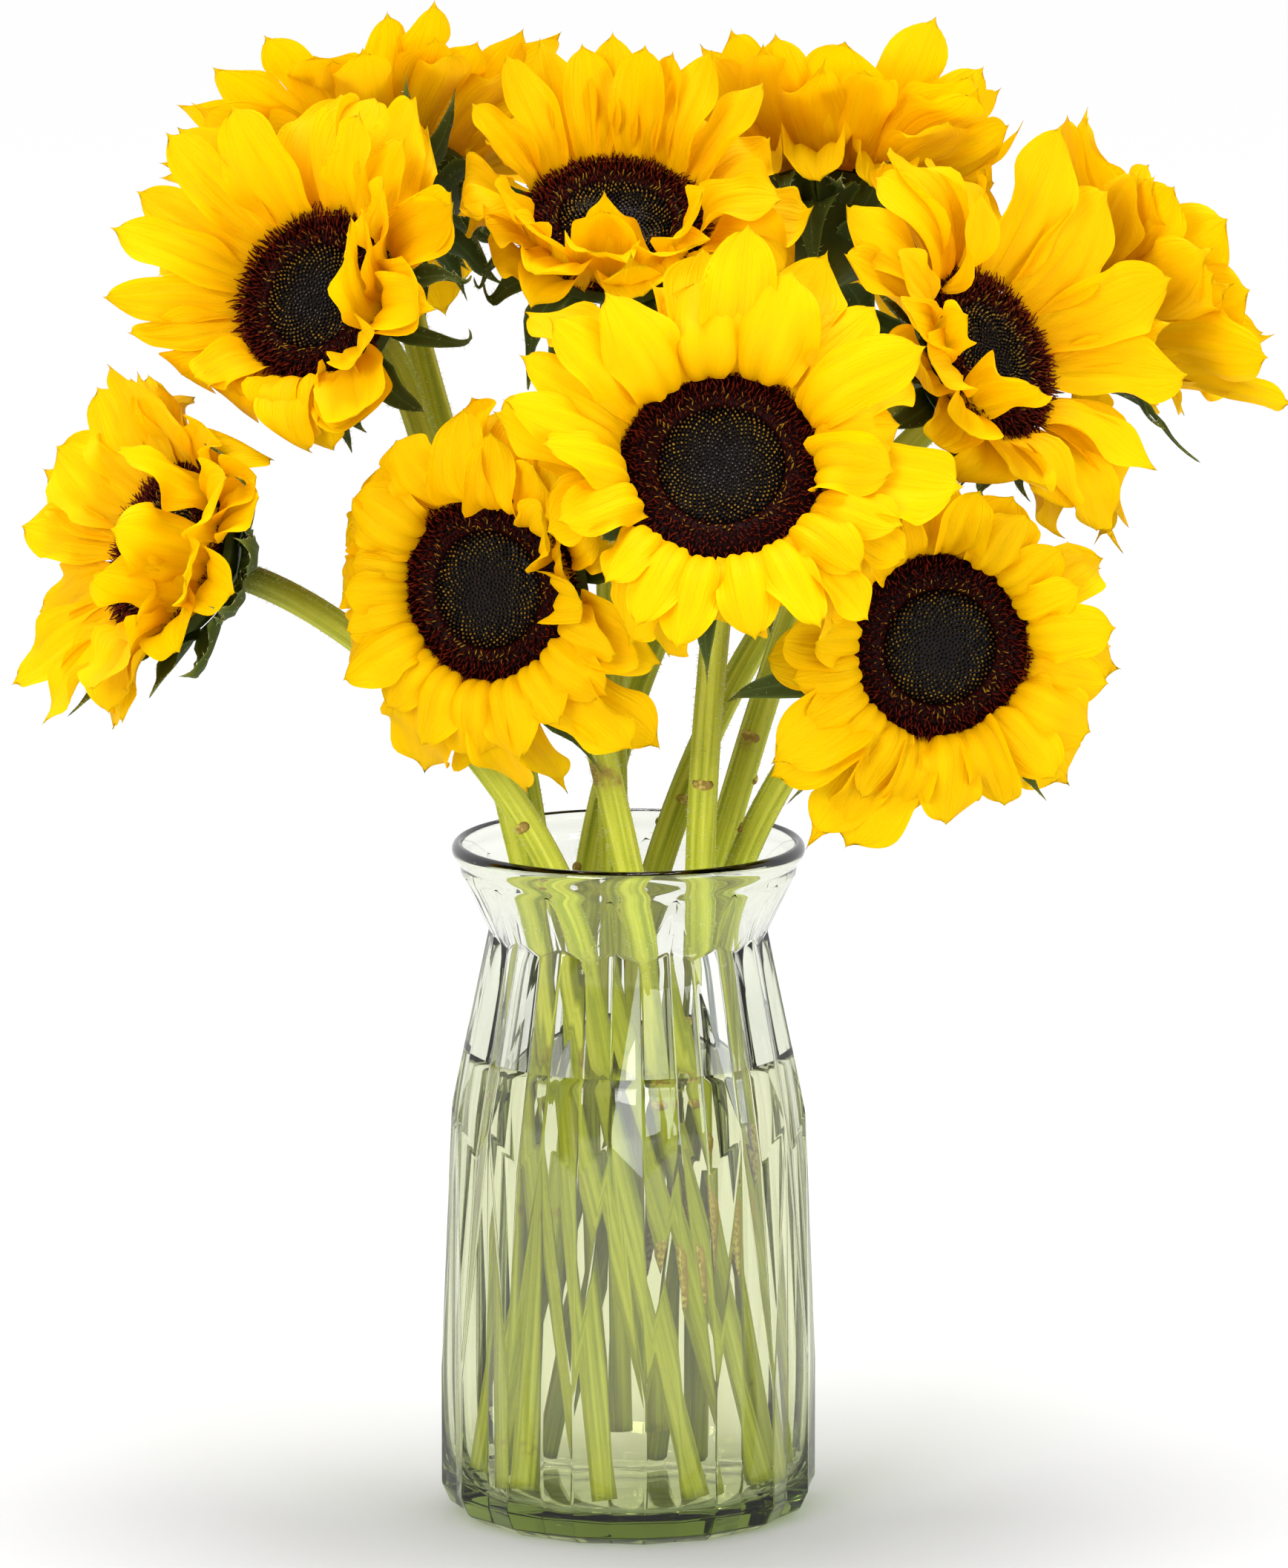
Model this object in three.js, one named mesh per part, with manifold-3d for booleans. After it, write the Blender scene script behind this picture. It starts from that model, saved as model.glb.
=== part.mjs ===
// Ten cut sunflowers standing in a pale green pressed-glass vase that is part filled with water.
// Millimetres, +Z up. The origin is the middle of the vase's underside, and the viewer stands at -Y.
// Each flower is four solids: a green stem with its cup and bracts, a ring of yellow petals,
// a crown of open florets, and the darker middle of the disc, whose florets are still closed.
import * as THREE from "three";
import { mergeVertices } from "three/addons/utils/BufferGeometryUtils.js";
import Module from "manifold-3d";

const wasm = await Module();
wasm.setup();

// Vase. Its 16 panels give 32 columns: by turns on a corner between panels and midway between corners.
const PANELS = 16;
const COLUMNS = 2 * PANELS;
const PANEL_TURN = 5.3; // degrees from +X to the first corner
const VASE_HEIGHT = 220;
const LIP_RADIUS = 57;
const BODY_RADIUS = 60.8;
const FLOOR_Z = 8;
const WATER_Z = 150;
const GAP = 0.35; // left between solids that touch

// Outside of the vase from the foot up: height and radius at a corner, then midway between corners.
// crease says from which kind of column a fold runs up across the band above.
const OUTSIDE = [
  { corner: [0, 53], midway: [0, 51.5] },
  { corner: [3, 58], midway: [2.5, 55.4] },
  { corner: [9, BODY_RADIUS], midway: [8, 57.6] },
  { corner: [47, BODY_RADIUS], midway: [47, 58.2], crease: "corner" },
  { corner: [120, 55], midway: [132, 57.4], crease: "midway" },
  { corner: [188, 43.4], midway: [191, 45], crease: "corner" },
  { corner: [208, 53.2], midway: [208, 53.2] },
  { corner: [214, 54], midway: [214, 54] },
  { corner: [216, 56.6], midway: [216, 56.6] },
  { corner: [218.6, LIP_RADIUS], midway: [218.6, LIP_RADIUS] },
  { corner: [VASE_HEIGHT, 54.6], midway: [VASE_HEIGHT, 54.6] },
];
// Inside of the vase from the lip down to the floor: height and radius.
const INSIDE = [
  [218.4, 51.8],
  [207, 47.6],
  [190, 39.8],
  [168, 43.2],
  [132, 50.6],
  [40, 55],
  [14, 53.5],
  [FLOOR_Z, 46],
];

// Flowers: the middle of the front of the disc, which way it faces (degrees to the viewer's right, then up),
// the disc's radius, and where its stem passes the neck (degrees from +X; null stands inside the others).
// spread is the petals' length as a share of the usual, and close is how many degrees further they stand up.
const FLOWERS = [
  { disc: [-4, -8, 421], turn: 2, lift: 54, radius: 29.5, neck: null, spread: 1, close: 0 },
  { disc: [-99, -30, 400], turn: -32, lift: 24, radius: 28, neck: 200, spread: 1, close: 0 },
  { disc: [-147, -34, 319], turn: -58, lift: 20, radius: 28, neck: 240, spread: 0.92, close: 0 },
  { disc: [-44, -72, 313], turn: -26, lift: 5, radius: 30.5, neck: 280, spread: 0.8, close: 4 },
  { disc: [29, -112, 359], turn: -2, lift: 32, radius: 32.5, neck: 320, spread: 0.98, close: 0 },
  { disc: [98, -68, 294], turn: 14, lift: 3, radius: 30, neck: 0, spread: 0.84, close: 0 },
  { disc: [115, -24, 381], turn: 54, lift: 28, radius: 28, neck: 40, spread: 1.12, close: 0 },
  { disc: [157, 62, 382], turn: 108, lift: 24, radius: 27, neck: 80, spread: 0.93, close: 0 },
  { disc: [66, 58, 417], turn: 168, lift: 48, radius: 28, neck: 120, spread: 1.15, close: 15 },
  { disc: [-78, 62, 427], turn: 192, lift: 50, radius: 27, neck: 160, spread: 1, close: 5 },
];
const BUNCH_MIDDLE = new THREE.Vector3(0, -10, 330);

// Stems stand in a spiral: each crosses the vase from the neck to a foot SPIRAL degrees further round.
const STEM_RADIUS = 5.2;
const STEM_TOP_RADIUS = 4.6;
const STEM_SIDES = 10; // also those of the cup that it widens into
const STEM_RINGS = 6; // in the curved stretch above the neck
const NECK_Z = 190;
const NECK_CIRCLE = 29;
const FOOT_Z = 12;
const FOOT_CIRCLE = 42;
const SPIRAL = 100;
const MIDDLE_STEM = { neck: [-4, 4, NECK_Z], foot: [1, -10, 30] };
const START_PULL = 0.45; // how far a stem keeps on in its lower line, and how far it comes up
const END_PULL = 0.2; // straight behind its flower, as shares of the way from the neck to the flower

// Head, along its axis from the front of the disc: negative is towards the stem.
// The cup's profile is distance from the axis, as a share of the disc's radius, and height.
const CUP_PROFILE = [[0.34, -26], [0.68, -17], [0.92, -11.5], [1.05, -6]];
const BRACT_ROWS = [1, 2]; // bands of the cup's profile that bracts grow from, one after the other by turns
const BRACT_LENGTH = 31;
const BRACT_WIDTH = 14;
const BRACT_THICK = 1.4;
const BRACT_STATIONS = [[0, 0.6], [0.45, 1]];
const PETALS = 20; // in two rows
const PETAL_LENGTH = 45;
const PETAL_WIDTH = 24;
const PETAL_THICK = 1.3;
const PETAL_STATIONS = [[0, 0.26], [0.4, 0.95], [0.78, 0.8]];
const PETAL_RING = { inner: -1.4, outer: 1.6, back: -5.65, front: -3.2 };
const CROWN_SHARE = 0.6; // the closed middle's share of the disc's radius
const CROWN_SPIKES = 12;
const MIDDLE_COLUMNS = 12;
const DISC_BACK = -5.65;

// Petals and bracts stay on their own flower's side of the plane midway to each neighbour: where they come
// within PRESS of it they are bent back, the more the further over they would be.
const NEIGHBOUR_REACH = 150;
const PRESS = 20;
const PRESS_GAP = 1;

const radians = THREE.MathUtils.degToRad;

// A number from -1 to 1 that is always the same for a flower, a piece of it and a trait.
function vary(flower, piece, trait) {
  const s = Math.sin(flower * 12.9898 + piece * 78.233 + trait * 37.719) * 43758.5453;
  return 2 * (s - Math.floor(s)) - 1;
}

function geometryOf(points, triangles) {
  const g = new THREE.BufferGeometry();
  g.setAttribute("position", new THREE.Float32BufferAttribute(points.flatMap((p) => p.toArray()), 3));
  g.setIndex(triangles.flat());
  return g;
}

function solidOf(geometry) {
  const bare = geometry.clone();
  bare.deleteAttribute("normal");
  bare.deleteAttribute("uv");
  const merged = mergeVertices(bare, 1e-4);
  return new wasm.Manifold(
    new wasm.Mesh({
      numProp: 3,
      vertProperties: merged.attributes.position.array,
      triVerts: new Uint32Array(merged.index.array),
    }),
  );
}

function geometryFrom(solid) {
  const mesh = solid.getMesh();
  const g = new THREE.BufferGeometry();
  g.setAttribute("position", new THREE.Float32BufferAttribute(mesh.vertProperties, 3));
  g.setIndex(new THREE.BufferAttribute(mesh.triVerts, 1));
  return g;
}

// The two triangles of a quad whose corners run anticlockwise, split from its first corner or its second.
function quad(a, b, c, d, fromFirst = true) {
  return fromFirst ? [[a, b, c], [a, c, d]] : [[a, b, d], [b, c, d]];
}

// Closed skin over rings with the same number of points: closed by a middle point at either end, or else
// from the last ring back to the first. growths holds what grows out of a quad, by its row and column:
// sections of four points, anticlockwise seen from the tip, and the tip.
function skin(rings, { ends, growths = [], fromFirst = () => true }) {
  const n = rings[0].length;
  const points = rings.flat();
  const triangles = [];
  const rows = ends ? rings.length - 1 : rings.length;
  for (let row = 0; row < rows; row++)
    for (let i = 0; i < n; i++) {
      const next = ((row + 1) % rings.length) * n;
      const j = (i + 1) % n;
      const corners = [row * n + i, row * n + j, next + j, next + i];
      const growth = growths.find((g) => g.row === row && g.column === i);
      if (growth) {
        grow(points, triangles, corners, growth);
      } else triangles.push(...quad(...corners, fromFirst(row, i)));
    }
  if (ends) {
    const [first, last] = ends.map((end) => points.push(end) - 1);
    const top = (rings.length - 1) * n;
    for (let i = 0; i < n; i++) {
      const j = (i + 1) % n;
      triangles.push([first, j, i], [last, top + i, top + j]);
    }
  }
  return geometryOf(points, triangles);
}

// Carries a quad's outline out through a growth's sections to its tip.
function grow(points, triangles, [a, b, c, d], { sections, tip }) {
  let from = [b, c, d, a];
  for (const section of sections) {
    const start = points.push(...section) - section.length;
    const to = section.map((_, k) => start + k);
    for (let k = 0; k < 4; k++) {
      const m = (k + 1) % 4;
      triangles.push(...quad(from[k], from[m], to[m], to[k], k % 2 === 1));
    }
    from = to;
  }
  const end = points.push(tip) - 1;
  for (let k = 0; k < 4; k++) triangles.push([from[k], from[(k + 1) % 4], end]);
}

function onCircle(radius, angle, z) {
  return new THREE.Vector3(radius * Math.cos(angle), radius * Math.sin(angle), z);
}

function circle(count, pointAt) {
  return Array.from({ length: count }, (_, i) => pointAt((2 * Math.PI * i) / count, i));
}

// Vase and water, turned together so that a corner column comes first.
function vaseGeometry() {
  const outside = OUTSIDE.map(({ corner, midway }) =>
    circle(COLUMNS, (angle, i) => {
      const [z, radius] = i % 2 ? midway : corner;
      return onCircle(radius, angle, z);
    }),
  );
  const inside = INSIDE.map(([z, radius]) => circle(COLUMNS, (angle) => onCircle(radius, angle, z)));
  const fromFirst = (row, column) => {
    const crease = OUTSIDE[row]?.crease;
    return crease ? (crease === "corner") === (column % 2 === 0) : true;
  };
  const ends = [new THREE.Vector3(0, 0, 0), new THREE.Vector3(0, 0, FLOOR_Z)];
  return skin([...outside, ...inside], { ends, fromFirst }).rotateZ(radians(PANEL_TURN));
}

// Radius of the vase's inside at a height.
function insideRadius(z) {
  const k = INSIDE.findIndex(([low]) => low <= z);
  const [[z1, r1], [z0, r0]] = [INSIDE[k - 1], INSIDE[k]];
  return THREE.MathUtils.mapLinear(z, z0, z1, r0, r1);
}

function waterSolid(lines) {
  const bottom = FLOOR_Z + GAP;
  const heights = [bottom, ...INSIDE.map(([z]) => z).filter((z) => z > FLOOR_Z && z < WATER_Z).reverse(), WATER_Z];
  const rings = heights.map((z) => circle(PANELS, (angle) => onCircle(insideRadius(z) - 2 * GAP, angle, z)));
  const ends = [new THREE.Vector3(0, 0, bottom), new THREE.Vector3(0, 0, WATER_Z)];
  const whole = skin(rings, { ends }).rotateZ(radians(PANEL_TURN));
  return lines.reduce((body, line) => {
    const tube = stemRings(line, GAP);
    const hole = skin(tube.rings, { ends: [tube.centres[0], tube.centres.at(-1)] });
    return body.subtract(solidOf(hole));
  }, solidOf(whole));
}

// The flower's own frame: x to the viewer's right and y up in the plane of the disc, z the way it faces.
function frameOf({ disc, turn, lift }) {
  const facing = new THREE.Vector3(
    Math.sin(radians(turn)) * Math.cos(radians(lift)),
    -Math.cos(radians(turn)) * Math.cos(radians(lift)),
    Math.sin(radians(lift)),
  );
  const right = new THREE.Vector3(0, 0, 1).cross(facing).normalize();
  const up = facing.clone().cross(right);
  return new THREE.Matrix4().makeBasis(right, up, facing).setPosition(...disc);
}

// A stem's foot and neck, the line between them, and its bend from the neck to the back of its cup.
function stemLine(flower) {
  const inside = flower.neck === null;
  const neck = inside
    ? new THREE.Vector3(...MIDDLE_STEM.neck)
    : onCircle(NECK_CIRCLE, radians(flower.neck), NECK_Z);
  const foot = inside
    ? new THREE.Vector3(...MIDDLE_STEM.foot)
    : onCircle(FOOT_CIRCLE, radians(flower.neck + SPIRAL), FOOT_Z);
  const frame = frameOf(flower);
  const top = new THREE.Vector3(0, 0, CUP_PROFILE[0][1] - STEM_RADIUS).applyMatrix4(frame);
  const facing = new THREE.Vector3().setFromMatrixColumn(frame, 2);
  const along = neck.clone().sub(foot).normalize();
  const way = neck.distanceTo(top);
  const start = neck.clone().addScaledVector(along, START_PULL * way);
  const end = top.clone().addScaledVector(facing, -END_PULL * way);
  const side = new THREE.Vector3().setFromMatrixColumn(frame, 0);
  return { foot, neck, along, side, bend: new THREE.CubicBezierCurve3(neck, start, end, top) };
}

// The rings and their middles of a stem, made larger by extra all round and at its foot. The rings start
// on the side where side points, so that the last one meets the cup without a twist.
function stemRings({ foot, neck, along, bend, side: last }, extra = 0) {
  const centres = [foot.clone().addScaledVector(along, -extra), neck];
  const ways = [along, along];
  for (let i = 1; i <= STEM_RINGS; i++) {
    centres.push(bend.getPoint(i / STEM_RINGS));
    ways.push(bend.getTangent(i / STEM_RINGS));
  }
  const side = last.clone();
  const rings = centres.map((_, k) => centres.length - 1 - k).map((k) => {
    side.projectOnPlane(ways[k]).normalize();
    const other = ways[k].clone().cross(side);
    const radius = extra + THREE.MathUtils.lerp(STEM_RADIUS, STEM_TOP_RADIUS, k / (centres.length - 1));
    return circle(STEM_SIDES, (angle) =>
      centres[k]
        .clone()
        .addScaledVector(side, radius * Math.cos(angle))
        .addScaledVector(other, radius * Math.sin(angle)),
    );
  });
  return { centres, rings: rings.reverse() };
}

// A thin blade that is thickest along its middle. Its root lies at a distance from the flower's axis
// and at a height along it. rise is its slope at the root and at the tip, fold lifts its edges, roll turns
// it about its own line, sway bends it sideways, and stations hold shares of its length and of its width.
// place takes each point of its middle surface to where it lies in the bunch.
function blade({ angle, root, length, width, thick, rise, fold, roll, sway, stations }, place) {
  const slope = (t) => radians(THREE.MathUtils.lerp(rise[0], rise[1], t));
  const centre = new THREE.Vector3(root[0], 0, root[1]);
  const [cos, sin] = [Math.cos(angle), Math.sin(angle)];
  const set = (p) => place(new THREE.Vector3(p.x * cos - p.y * sin, p.x * sin + p.y * cos, p.z));
  const strips = [...stations, [1, 0]].map(([t, share], k, all) => {
    const before = k ? all[k - 1][0] : 0;
    const middle = slope((t + before) / 2);
    centre.x += length * (t - before) * Math.cos(middle);
    centre.z += length * (t - before) * Math.sin(middle);
    centre.y = sway * length * t * t;
    const up = new THREE.Vector3(-Math.sin(slope(t)), 0, Math.cos(slope(t)));
    const turned = radians(roll * t);
    const half = (width / 2) * share;
    const side = new THREE.Vector3(0, Math.cos(turned), 0).addScaledVector(up, Math.sin(turned));
    const edge = (sign) => set(centre.clone().addScaledVector(up, fold * half).addScaledVector(side, sign * half));
    return { left: edge(1), middle: set(centre), right: edge(-1) };
  });
  const tip = strips.pop().middle;
  const sections = strips.map(({ left, middle, right }, k) => {
    const ahead = (strips[k + 1]?.middle ?? tip).clone().sub(middle);
    const half = ahead.cross(left.clone().sub(right)).setLength(thick / 2);
    return [left, middle.clone().add(half), right, middle.clone().sub(half)];
  });
  return { sections, tip };
}

// Takes a point of a flower's own frame to the bunch, and bends it back from the planes to the neighbours.
function placerOf(flower) {
  const frame = frameOf(flower);
  const own = new THREE.Vector3(...flower.disc);
  const walls = FLOWERS.map((other) => new THREE.Vector3(...other.disc).sub(own))
    .filter((way) => way.length() > 0 && way.length() < NEIGHBOUR_REACH)
    .map((way) => ({ half: way.length() / 2, way: way.normalize() }));
  const depth = PRESS - PRESS_GAP;
  return (point) => {
    point.applyMatrix4(frame);
    for (const { half, way } of walls) {
      const over = point.clone().sub(own).dot(way) - half + PRESS;
      if (over > 0) point.addScaledVector(way, depth * (1 - Math.exp(-over / depth)) - over);
    }
    return point;
  };
}

// How much a direction in the plane of the disc points to the middle of the bunch, from -1 to 1.
function crowding(flower, angle) {
  const inward = BUNCH_MIDDLE.clone().sub(new THREE.Vector3(...flower.disc)).normalize();
  const out = new THREE.Vector3(Math.cos(angle), Math.sin(angle), 0).transformDirection(frameOf(flower));
  return inward.dot(out);
}

// Petals of one flower, grown out of a thin ring round the disc. Those that face the bunch stand up more.
function petalGeometry(flower, index) {
  const { inner, outer, back, front } = PETAL_RING;
  const place = placerOf(flower);
  const frame = frameOf(flower);
  const rings = [[inner, back], [outer, back], [outer, front]].map(([r, h]) =>
    circle(PETALS, (angle) => onCircle(flower.radius + r, angle, h).applyMatrix4(frame)),
  );
  const growths = Array.from({ length: PETALS }, (_, petal) => {
    const behind = petal % 2 === 1;
    const angle = (2 * Math.PI * (petal + 0.5 + 0.16 * vary(index, petal, 1))) / PETALS;
    const inward = crowding(flower, angle);
    const shape = {
      angle,
      root: [flower.radius + outer + 1, (back + front) / 2 + (behind ? -0.3 : 0.3)],
      length: PETAL_LENGTH * flower.spread * (behind ? 1.05 : 0.95) * (1 + 0.08 * vary(index, petal, 2)),
      width: PETAL_WIDTH * (1 + 0.1 * vary(index, petal, 3)),
      thick: PETAL_THICK,
      rise: [
        (behind ? 28 : 54) + flower.close + 24 * inward + 4 * vary(index, petal, 4),
        (behind ? -14 : 2) + flower.close + 30 * inward + 7 * vary(index, petal, 5),
      ],
      fold: 0.25 + 0.1 * vary(index, petal, 6),
      roll: 14 * vary(index, petal, 7),
      sway: 0.06 * vary(index, petal, 8),
      stations: PETAL_STATIONS,
    };
    return { row: 1, column: petal, ...blade(shape, place) };
  });
  return skin(rings, { growths });
}

// One stem, the cup that it widens into, and the bracts that grow out of the cup's side.
function stemGeometry(flower, index, line) {
  const place = placerOf(flower);
  const frame = frameOf(flower);
  const tube = stemRings(line);
  const cup = CUP_PROFILE.map(([share, h]) =>
    circle(STEM_SIDES, (angle) => onCircle(flower.radius * share, angle, h).applyMatrix4(frame)),
  );
  const growths = Array.from({ length: STEM_SIDES }, (_, bract) => {
    const behind = bract % 2;
    const band = BRACT_ROWS[1 - behind];
    const [[r0, h0], [r1, h1]] = CUP_PROFILE.slice(band - 1);
    const shape = {
      angle: (2 * Math.PI * (bract + 0.5 + 0.12 * vary(index, bract, 11))) / STEM_SIDES,
      root: [(flower.radius * (r0 + r1)) / 2 + 1.5, (h0 + h1) / 2],
      length: BRACT_LENGTH * (1 + 0.2 * vary(index, bract, 12)),
      width: BRACT_WIDTH,
      thick: BRACT_THICK,
      rise: [(behind ? 0 : 22) + 6 * vary(index, bract, 13), (behind ? -50 : -20) + 24 * vary(index, bract, 14)],
      fold: 0.25,
      roll: 25 * vary(index, bract, 15),
      sway: 0.12 * vary(index, bract, 16),
      stations: BRACT_STATIONS,
    };
    return { row: tube.rings.length + band - 1, column: bract, ...blade(shape, place) };
  });
  const front = new THREE.Vector3(0, 0, CUP_PROFILE.at(-1)[1]).applyMatrix4(frame);
  return skin([...tube.rings, ...cup], { ends: [line.foot, front], growths });
}

// The crown of open florets: a ring whose top stands up in spikes that lean outwards.
function crownGeometry({ radius }) {
  const inner = radius * CROWN_SHARE + GAP;
  const columns = 2 * CROWN_SPIKES;
  const ring = (r, height, lean = 0, spike = 0) =>
    circle(columns, (angle, i) => onCircle(r + lean * (i % 2), angle, height + spike * (i % 2)));
  const rings = [
    ring(inner, DISC_BACK),
    ring(radius - 2.6, DISC_BACK),
    ring(radius - 2, 0.4, 2, 3.6),
    ring(radius - 4.5, 2.6, 0, -1.4),
    ring(inner, 0, 1.6, 1.6),
  ];
  return skin(rings, {});
}

// The closed middle of the disc: a low dome with its florets raised along spirals.
function middleGeometry({ radius }) {
  const rim = radius * CROWN_SHARE;
  const ring = (share, height, relief) =>
    circle(MIDDLE_COLUMNS, (angle, i) => onCircle(rim * share, angle + share, height + relief * (i % 2)));
  const rings = [ring(1, DISC_BACK, 0), ring(1, -1.2, 0.8), ring(0.72, 0.2, 1.2), ring(0.36, 0, 1)];
  return skin(rings, { ends: [new THREE.Vector3(0, 0, DISC_BACK), new THREE.Vector3(0, 0, -0.4)] });
}

const looks = {
  glass: { color: 0xdcebdf, roughness: 0.05, metalness: 0, transparent: true, opacity: 0.35 },
  water: { color: 0xe9f2e4, roughness: 0.02, metalness: 0, transparent: true, opacity: 0.3 },
  stem: { color: 0x8fa832, roughness: 0.7, metalness: 0 },
  petal: { color: 0xffc400, roughness: 0.55, metalness: 0 },
  crown: { color: 0x3f120c, roughness: 0.8, metalness: 0 },
  middle: { color: 0x2a2016, roughness: 0.7, metalness: 0 },
};

function named(name, geometry, look) {
  geometry.computeVertexNormals();
  const mesh = new THREE.Mesh(geometry, new THREE.MeshStandardMaterial(look));
  mesh.name = name;
  return mesh;
}

const bunch = new THREE.Group();
const lines = FLOWERS.map(stemLine);
bunch.add(named("vase", vaseGeometry(), looks.glass));
bunch.add(named("water", geometryFrom(waterSolid(lines)), looks.water));
FLOWERS.forEach((flower, index) => {
  const label = String(index + 1).padStart(2, "0");
  const frame = frameOf(flower);
  bunch.add(named("stem_" + label, stemGeometry(flower, index, lines[index]), looks.stem));
  bunch.add(named("petals_" + label, petalGeometry(flower, index), looks.petal));
  bunch.add(named("crown_" + label, crownGeometry(flower).applyMatrix4(frame), looks.crown));
  bunch.add(named("middle_" + label, middleGeometry(flower).applyMatrix4(frame), looks.middle));
});

export default bunch;
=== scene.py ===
# Ten cut sunflowers standing in a pale green pressed-glass vase that is part filled with water.
# The script is laid out as an add-on: settings, one operator for each kind of piece, and a panel.
# Shapes are worked out in millimetres, +Z up, with the viewer at -Y, and turned to metres in the meshes.
import math
from functools import partial

import bmesh
import bpy
import numpy as np
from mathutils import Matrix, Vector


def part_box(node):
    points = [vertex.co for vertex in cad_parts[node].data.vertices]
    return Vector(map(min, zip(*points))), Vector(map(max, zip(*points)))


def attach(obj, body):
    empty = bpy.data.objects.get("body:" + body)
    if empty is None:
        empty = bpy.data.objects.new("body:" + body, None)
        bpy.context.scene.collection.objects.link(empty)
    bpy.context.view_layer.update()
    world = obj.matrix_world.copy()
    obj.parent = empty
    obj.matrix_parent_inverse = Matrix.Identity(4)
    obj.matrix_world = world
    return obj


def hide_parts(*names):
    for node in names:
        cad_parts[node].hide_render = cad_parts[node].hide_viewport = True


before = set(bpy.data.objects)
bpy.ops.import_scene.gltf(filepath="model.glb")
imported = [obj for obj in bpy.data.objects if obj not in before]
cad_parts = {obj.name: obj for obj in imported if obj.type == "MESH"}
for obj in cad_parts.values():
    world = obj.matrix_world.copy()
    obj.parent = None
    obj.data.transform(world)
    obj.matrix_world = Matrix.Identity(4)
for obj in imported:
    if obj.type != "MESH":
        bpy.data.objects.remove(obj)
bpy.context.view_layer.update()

bl_info = {
    "name": "Sunflowers in a vase",
    "version": (1, 0, 0),
    "blender": (4, 5, 0),
    "location": "View3D > Sidebar > Sunflowers",
    "description": "Petals, florets, stems, glass and water of ten cut sunflowers in a vase",
    "category": "Object",
}

MM = 0.001

# Flowers: the middle of the front of the disc, which way it faces (degrees to the viewer's right, then up),
# the disc's radius, where its stem passes the neck (degrees from +X; None stands inside the others),
# its petals' length as a share of the usual, and how many degrees further they stand up.
FLOWERS = [
    ((-4, -8, 421), 2, 54, 29.5, None, 1, 0),
    ((-99, -30, 400), -32, 24, 28, 200, 1, 0),
    ((-147, -34, 319), -58, 20, 28, 240, 0.92, 0),
    ((-44, -72, 313), -26, 5, 30.5, 280, 0.88, 4),
    ((29, -112, 359), -2, 32, 32.5, 320, 0.98, 0),
    ((98, -68, 294), 14, 3, 30, 0, 0.84, 0),
    ((115, -24, 381), 54, 28, 28, 40, 1.12, 0),
    ((157, 62, 382), 108, 24, 27, 80, 0.8, 0),
    ((66, 58, 417), 168, 48, 28, 120, 1.15, 15),
    ((-78, 62, 427), 192, 50, 27, 160, 1, 5),
]
BUNCH_MIDDLE = np.array([0.0, -10.0, 330.0])

# Petals and bracts bend back from the plane midway to each neighbour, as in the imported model.
NEIGHBOUR_REACH = 150
PRESS = 20
PRESS_DEPTH = 19

# Petals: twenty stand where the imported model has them, in a front and a back row, and the rest fill in
# further in and further out. Each row gives its count, its first petal's number, where it starts, how far
# on the next petal stands and how many such places go round, how far astray in places a petal stands, its
# length and width as shares of the usual, its rise in degrees at the root and at the tip, its root's height
# over the petal ring, how far its tip is drawn out as a share of its length, and the degrees within which
# a petal gives way to one that stands on its own.
PETAL_ROWS = [
    {"count": 10, "first": 0, "start": 0, "step": 2, "of": 20, "astray": 0.16, "long": 1.06, "wide": 1.0,
     "rise": (72, -18), "height": 0.3, "point": 0.05, "room": 13},
    {"count": 10, "first": 1, "start": 1, "step": 2, "of": 20, "astray": 0.16, "long": 1.14, "wide": 1.04,
     "rise": (50, -26), "height": -0.5, "point": 0.1, "room": 0},
    {"count": 8, "first": 20, "start": 0, "step": 1, "of": 8, "astray": 0.3, "long": 0.78, "wide": 0.9,
     "rise": (98, 16), "height": 1.2, "point": 0.05, "room": 24},
    {"count": 10, "first": 28, "start": 0.3, "step": 1, "of": 10, "astray": 0.3, "long": 1.1, "wide": 1.04,
     "rise": (28, -36), "height": -1.3, "point": 0.12, "room": 0},
]
PETAL_GRID = (18, 11)
PETAL_PLEAT = 0.06
RING_OUT = -1.2  # a petal's root, out from the disc's rim
RING_HEIGHT = -3.6
LONE_HEIGHT = 1  # the same for a petal that stands on its own, over the ring
CROWDED_RISE = (24, 30)  # degrees further that a petal stands up, root and tip, towards the bunch's middle

# How single pieces differ: each trait's mean, its spread to either side, and its number. Petals roll
# about 7 degrees, so that the edge of each lies over the next.
PETAL_TRAITS = {
    "long": (1, 0.12, 2), "wide": (1, 0.16, 3), "root_rise": (0, 8, 4), "tip_rise": (0, 13, 5),
    "curl": (6, 32, 21), "buckle": (0, 9, 22), "phase": (0, 1, 23), "cup": (30, 34, 24),
    "waves": (1.6, 0.6, 25), "wave": (0.2, 0.08, 26), "point": (1, 0.6, 27), "roll": (7, 20, 7),
    "sway": (0, 0.09, 8), "tone": (0.5, 0.5, 28),
}
LONE_TRAITS = {
    "long": (1, 0.08, 66), "root_rise": (0, 8, 67), "tip_rise": (0, 16, 68), "buckle": (0, 13, 61),
    "phase": (0, 1, 62), "roll": (0, 15, 64), "sway": (0, 0.05, 65), "tone": (0.5, 0.5, 63),
}
BRACT_TRAITS = {
    "shift": (0.5, 0.12, 11), "long": (1, 0.2, 12), "root_rise": (0, 6, 13), "tip_rise": (0, 24, 14),
    "curl": (0, 40, 51), "buckle": (0, 10, 52), "phase": (0, 1, 53), "cup": (30, 20, 54),
    "roll": (0, 25, 15), "sway": (0, 0.12, 16), "tone": (0.5, 0.5, 55),
}
FLORET_TRAITS = {
    "shift": (0, 0.3, 31), "lean": (8, 16, 32), "hook": (24, 30, 33), "long": (1, 0.3, 34),
    "wide": (1, 0.15, 35), "twist": (0, 0.5, 36), "tone": (0.5, 0.5, 37),
}
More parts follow.
